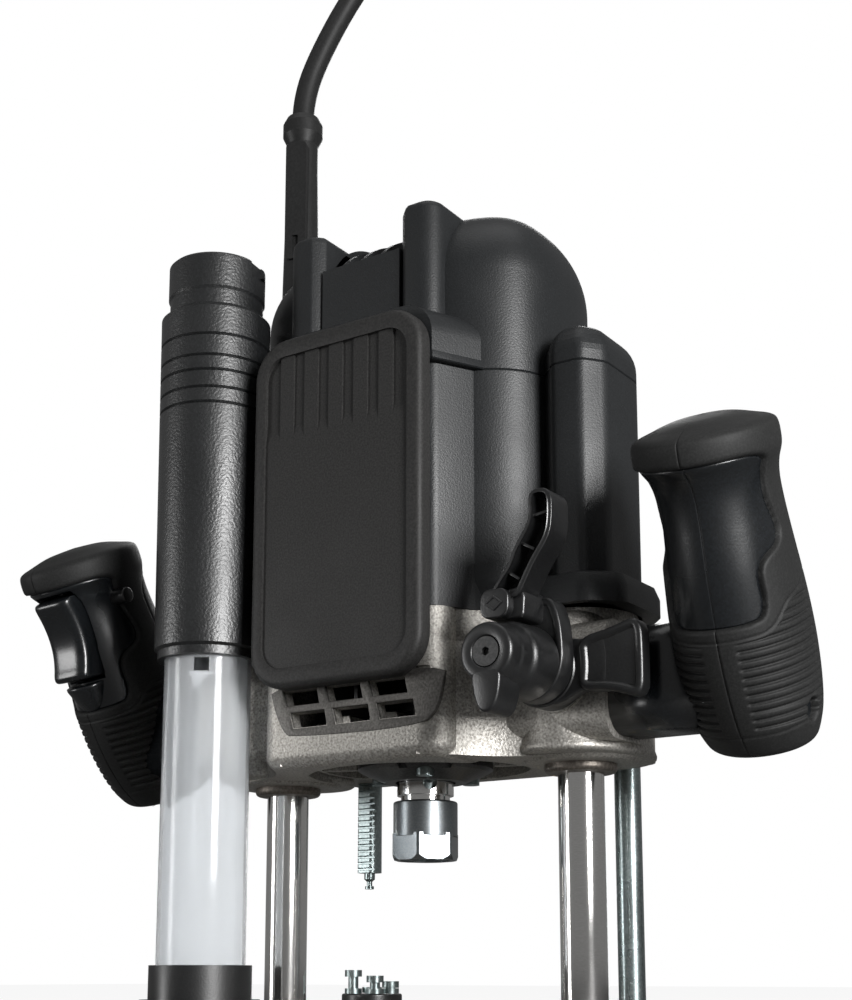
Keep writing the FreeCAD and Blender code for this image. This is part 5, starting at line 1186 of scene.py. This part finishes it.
# name, darker tone, lighter tone, roughness, and what differs from a plain plastic
FINISHES = (
    ("metallic_paint", (0.26, 0.245, 0.222), (0.62, 0.60, 0.56), 0.5,
     dict(metal=0.7, grain=0.0005, bump=0.00018, levels=(0.3, 0.75))),
    # painted shade: the casting's paint made darker for the vent panel, which lies in shade
    ("dark_paint", (0.085, 0.08, 0.074), (0.17, 0.163, 0.153), 0.5,
     dict(metal=0.6, grain=0.0005, bump=0.0001, levels=(0.3, 0.75))),
    ("sole_laminate", grey(0.012), grey(0.02), 0.35, dict(grain=0.002)),
    ("polished_steel", (0.78, 0.77, 0.75), (0.88, 0.87, 0.85), 0.11,
     dict(metal=1.0, grain=0.0008, bump=0.0000004, stretch=(1, 1, 14), rough_spread=0.03)),
    ("zinc_steel", (0.30, 0.355, 0.355), (0.42, 0.475, 0.475), 0.3,
     dict(metal=1.0, bump=0.000005, rough_spread=0.08)),
    ("dark_steel", grey(0.09), grey(0.13), 0.38, dict(metal=0.8, grain=0.0005, bump=0.00001)),
    ("blued_steel", (0.24, 0.26, 0.27), (0.29, 0.31, 0.32), 0.34,
     dict(metal=1.0, grain=0.0004, bump=0.000006, rough_spread=0.05)),
    ("spring_steel", grey(0.25), grey(0.4), 0.3, dict(metal=1.0)),
    ("bush_metal", (0.17, 0.15, 0.13), (0.28, 0.25, 0.22), 0.45,
     dict(metal=0.8)),
    ("lamination", grey(0.12), grey(0.26), 0.5,
     dict(metal=0.8, grain=0.0009, stretch=(1, 1, 8))),
    ("housing_moulding", (0.008, 0.009, 0.0098), (0.014, 0.0155, 0.017), 0.46,
     dict(grain=0.00036, bump=0.00009, levels=(0.35, 0.7), specular=0.64)),
    ("cover_moulding", (0.021, 0.0205, 0.020), (0.040, 0.039, 0.038), 0.55,
     dict(grain=0.0004, bump=0.00007, levels=(0.35, 0.7), specular=0.35)),
    ("black_moulding", (0.006, 0.0062, 0.0065), (0.011, 0.0112, 0.0117), 0.34,
     dict(grain=0.0004, bump=0.00004, specular=0.9)),
    ("coarse_moulding", (0.006, 0.0066, 0.007), (0.012, 0.013, 0.014), 0.38,
     dict(bump=0.00016, levels=(0.4, 0.7), specular=1.0)),
    ("gloss_moulding", (0.004, 0.005, 0.006), (0.008, 0.0098, 0.012), 0.27,
     dict(grain=0.00045, specular=0.8)),
    ("soft_rubber", (0.016, 0.0162, 0.016), (0.024, 0.0242, 0.024), 0.6,
     dict(grain=0.0004, specular=0.3)),
    ("cord_rubber", grey(0.016), grey(0.022), 0.45, dict(bump=0.00002, specular=0.4)),
    ("board_green", (0.01, 0.09, 0.03), (0.02, 0.14, 0.05), 0.3, dict()),
    ("brass_pins", (0.55, 0.42, 0.2), (0.7, 0.55, 0.28), 0.25, dict(metal=1.0)),
)
finishes = {row[0]: finish(*row[:4], **row[4]) for row in FINISHES}

# the clear one is nearly colourless and lets most of the light through
clear, clear_tree, clear_shader = new_material("clear_plastic")
haze = ramp(clear_tree, noise(clear_tree, 0.01, 3.0, (1, 1, 0.2)), 0.3, 0.7, grey(0.03),
            grey(0.10))
clear_tree.links.new(haze, clear_shader.inputs["Roughness"])
put(clear_shader, Base_Color=(0.93, 0.95, 0.97, 1), Transmission_Weight=0.72, IOR=1.3)
finishes["clear_plastic"] = clear
print("finishes", len(finishes))

# %% [markdown]
# Each solid wears the finish of its slot in the record. Only the vent panel
# differs: the casting's shade on it is painted in, as a darker paint.

# %% Dress every solid
slots = {row["node"]: row["material_slot"] for row in frame["record"]["subparts"]}


def dress(piece, material):
    """The piece gets that one finish in every slot."""
    if not piece.data.materials:
        piece.data.materials.append(material)
    for i in range(len(piece.data.materials)):
        piece.data.materials[i] = material


# painted shade: the vent panel wears the darker paint for the shade it lies in
PAINTED_SHADE_FINISH = {"vent_panel": "dark_paint"}
for name, node in nodes.items():
    dress(node, finishes[slots[name]])
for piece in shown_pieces():
    if piece.name not in nodes:
        dress(piece, finishes[PAINTED_SHADE_FINISH.get(piece.name, piece["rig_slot"])])
print("dressed", len(slots), "solids and the pieces")

# %% [markdown]
# ## Floor, backdrop and lamps
# A pale floor keeps the soft shadow. Rays from the lens, and rays that the
# metal and the clear tube send on, see plain white around it.

# %% Stage
def maths(tree, operation, *terms):
    """Works out one value from sockets and numbers."""
    node = tree.nodes.new("ShaderNodeMath")
    node.operation = operation
    for term, socket in zip(terms, node.inputs):
        if isinstance(term, bpy.types.NodeSocket):
            tree.links.new(term, socket)
        else:
            socket.default_value = term
    return node.outputs["Value"]


floor_mesh = bmesh.new()
bmesh.ops.create_grid(floor_mesh, x_segments=1, y_segments=1, size=4.0)
bmesh.ops.translate(floor_mesh, verts=floor_mesh.verts, vec=(0, 0, -0.0002))
floor = bpy.data.objects.new("floor", to_mesh(floor_mesh, "floor"))
scene.collection.objects.link(floor)

floor_paint, floor_tree, floor_shader = new_material("floor_paint")
put(floor_shader, Base_Color=(0.2, 0.2, 0.2, 1), Roughness=0.9, Emission_Color=(1, 1, 1, 1))
paths = floor_tree.nodes.new("ShaderNodeLightPath").outputs
glow = maths(floor_tree, "MULTIPLY", paths["Is Camera Ray"], 0.9)
floor_tree.links.new(glow, floor_shader.inputs["Emission Strength"])
dress(floor, floor_paint)

world = bpy.data.worlds.new("studio")
scene.world = world
world.use_nodes = True
sky = world.node_tree
backdrop = sky.nodes["Background"]
put(backdrop, Color=(1, 1, 1, 1))
rays = sky.nodes.new("ShaderNodeLightPath").outputs
seen = maths(sky, "MAXIMUM", rays["Is Camera Ray"], rays["Is Transmission Ray"])
shine = maths(sky, "MULTIPLY_ADD", rays["Is Glossy Ray"], 0.15, seen)
level = sky.nodes.new("ShaderNodeMapRange")
put(level, To_Min=0.045, To_Max=1.0)
sky.links.new(shine, level.inputs["Value"])
sky.links.new(level.outputs["Result"], backdrop.inputs["Strength"])


def lamp(name, place, aim, size, watts):
    """A square soft box that points at aim."""
    data = bpy.data.lights.new(name, "AREA")
    data.shape = "RECTANGLE"
    data.size, data.size_y = size
    data.energy = watts
    box = bpy.data.objects.new(name, data)
    box.location = place
    box.rotation_euler = (Vector(aim) - Vector(place)).to_track_quat("-Z", "Y").to_euler()
    scene.collection.objects.link(box)


lamp("key_box", (1.0, -0.44, 0.34), (0, 0, 0.18), (0.34, 0.4), 14)
lamp("left_box", (-0.85, -0.8, 0.16), (0, 0, 0.1), (0.25, 0.5), 3.2)
lamp("back_box", (-0.6, 0.9, 0.9), (0, 0, 0.2), (0.6, 0.6), 5)
lamp("top_box", (0.1, -0.1, 1.3), (0, 0, 0.2), (0.9, 0.6), 1.2)
scene.view_settings.view_transform = "Standard"
print("lamps", len(bpy.data.lights))
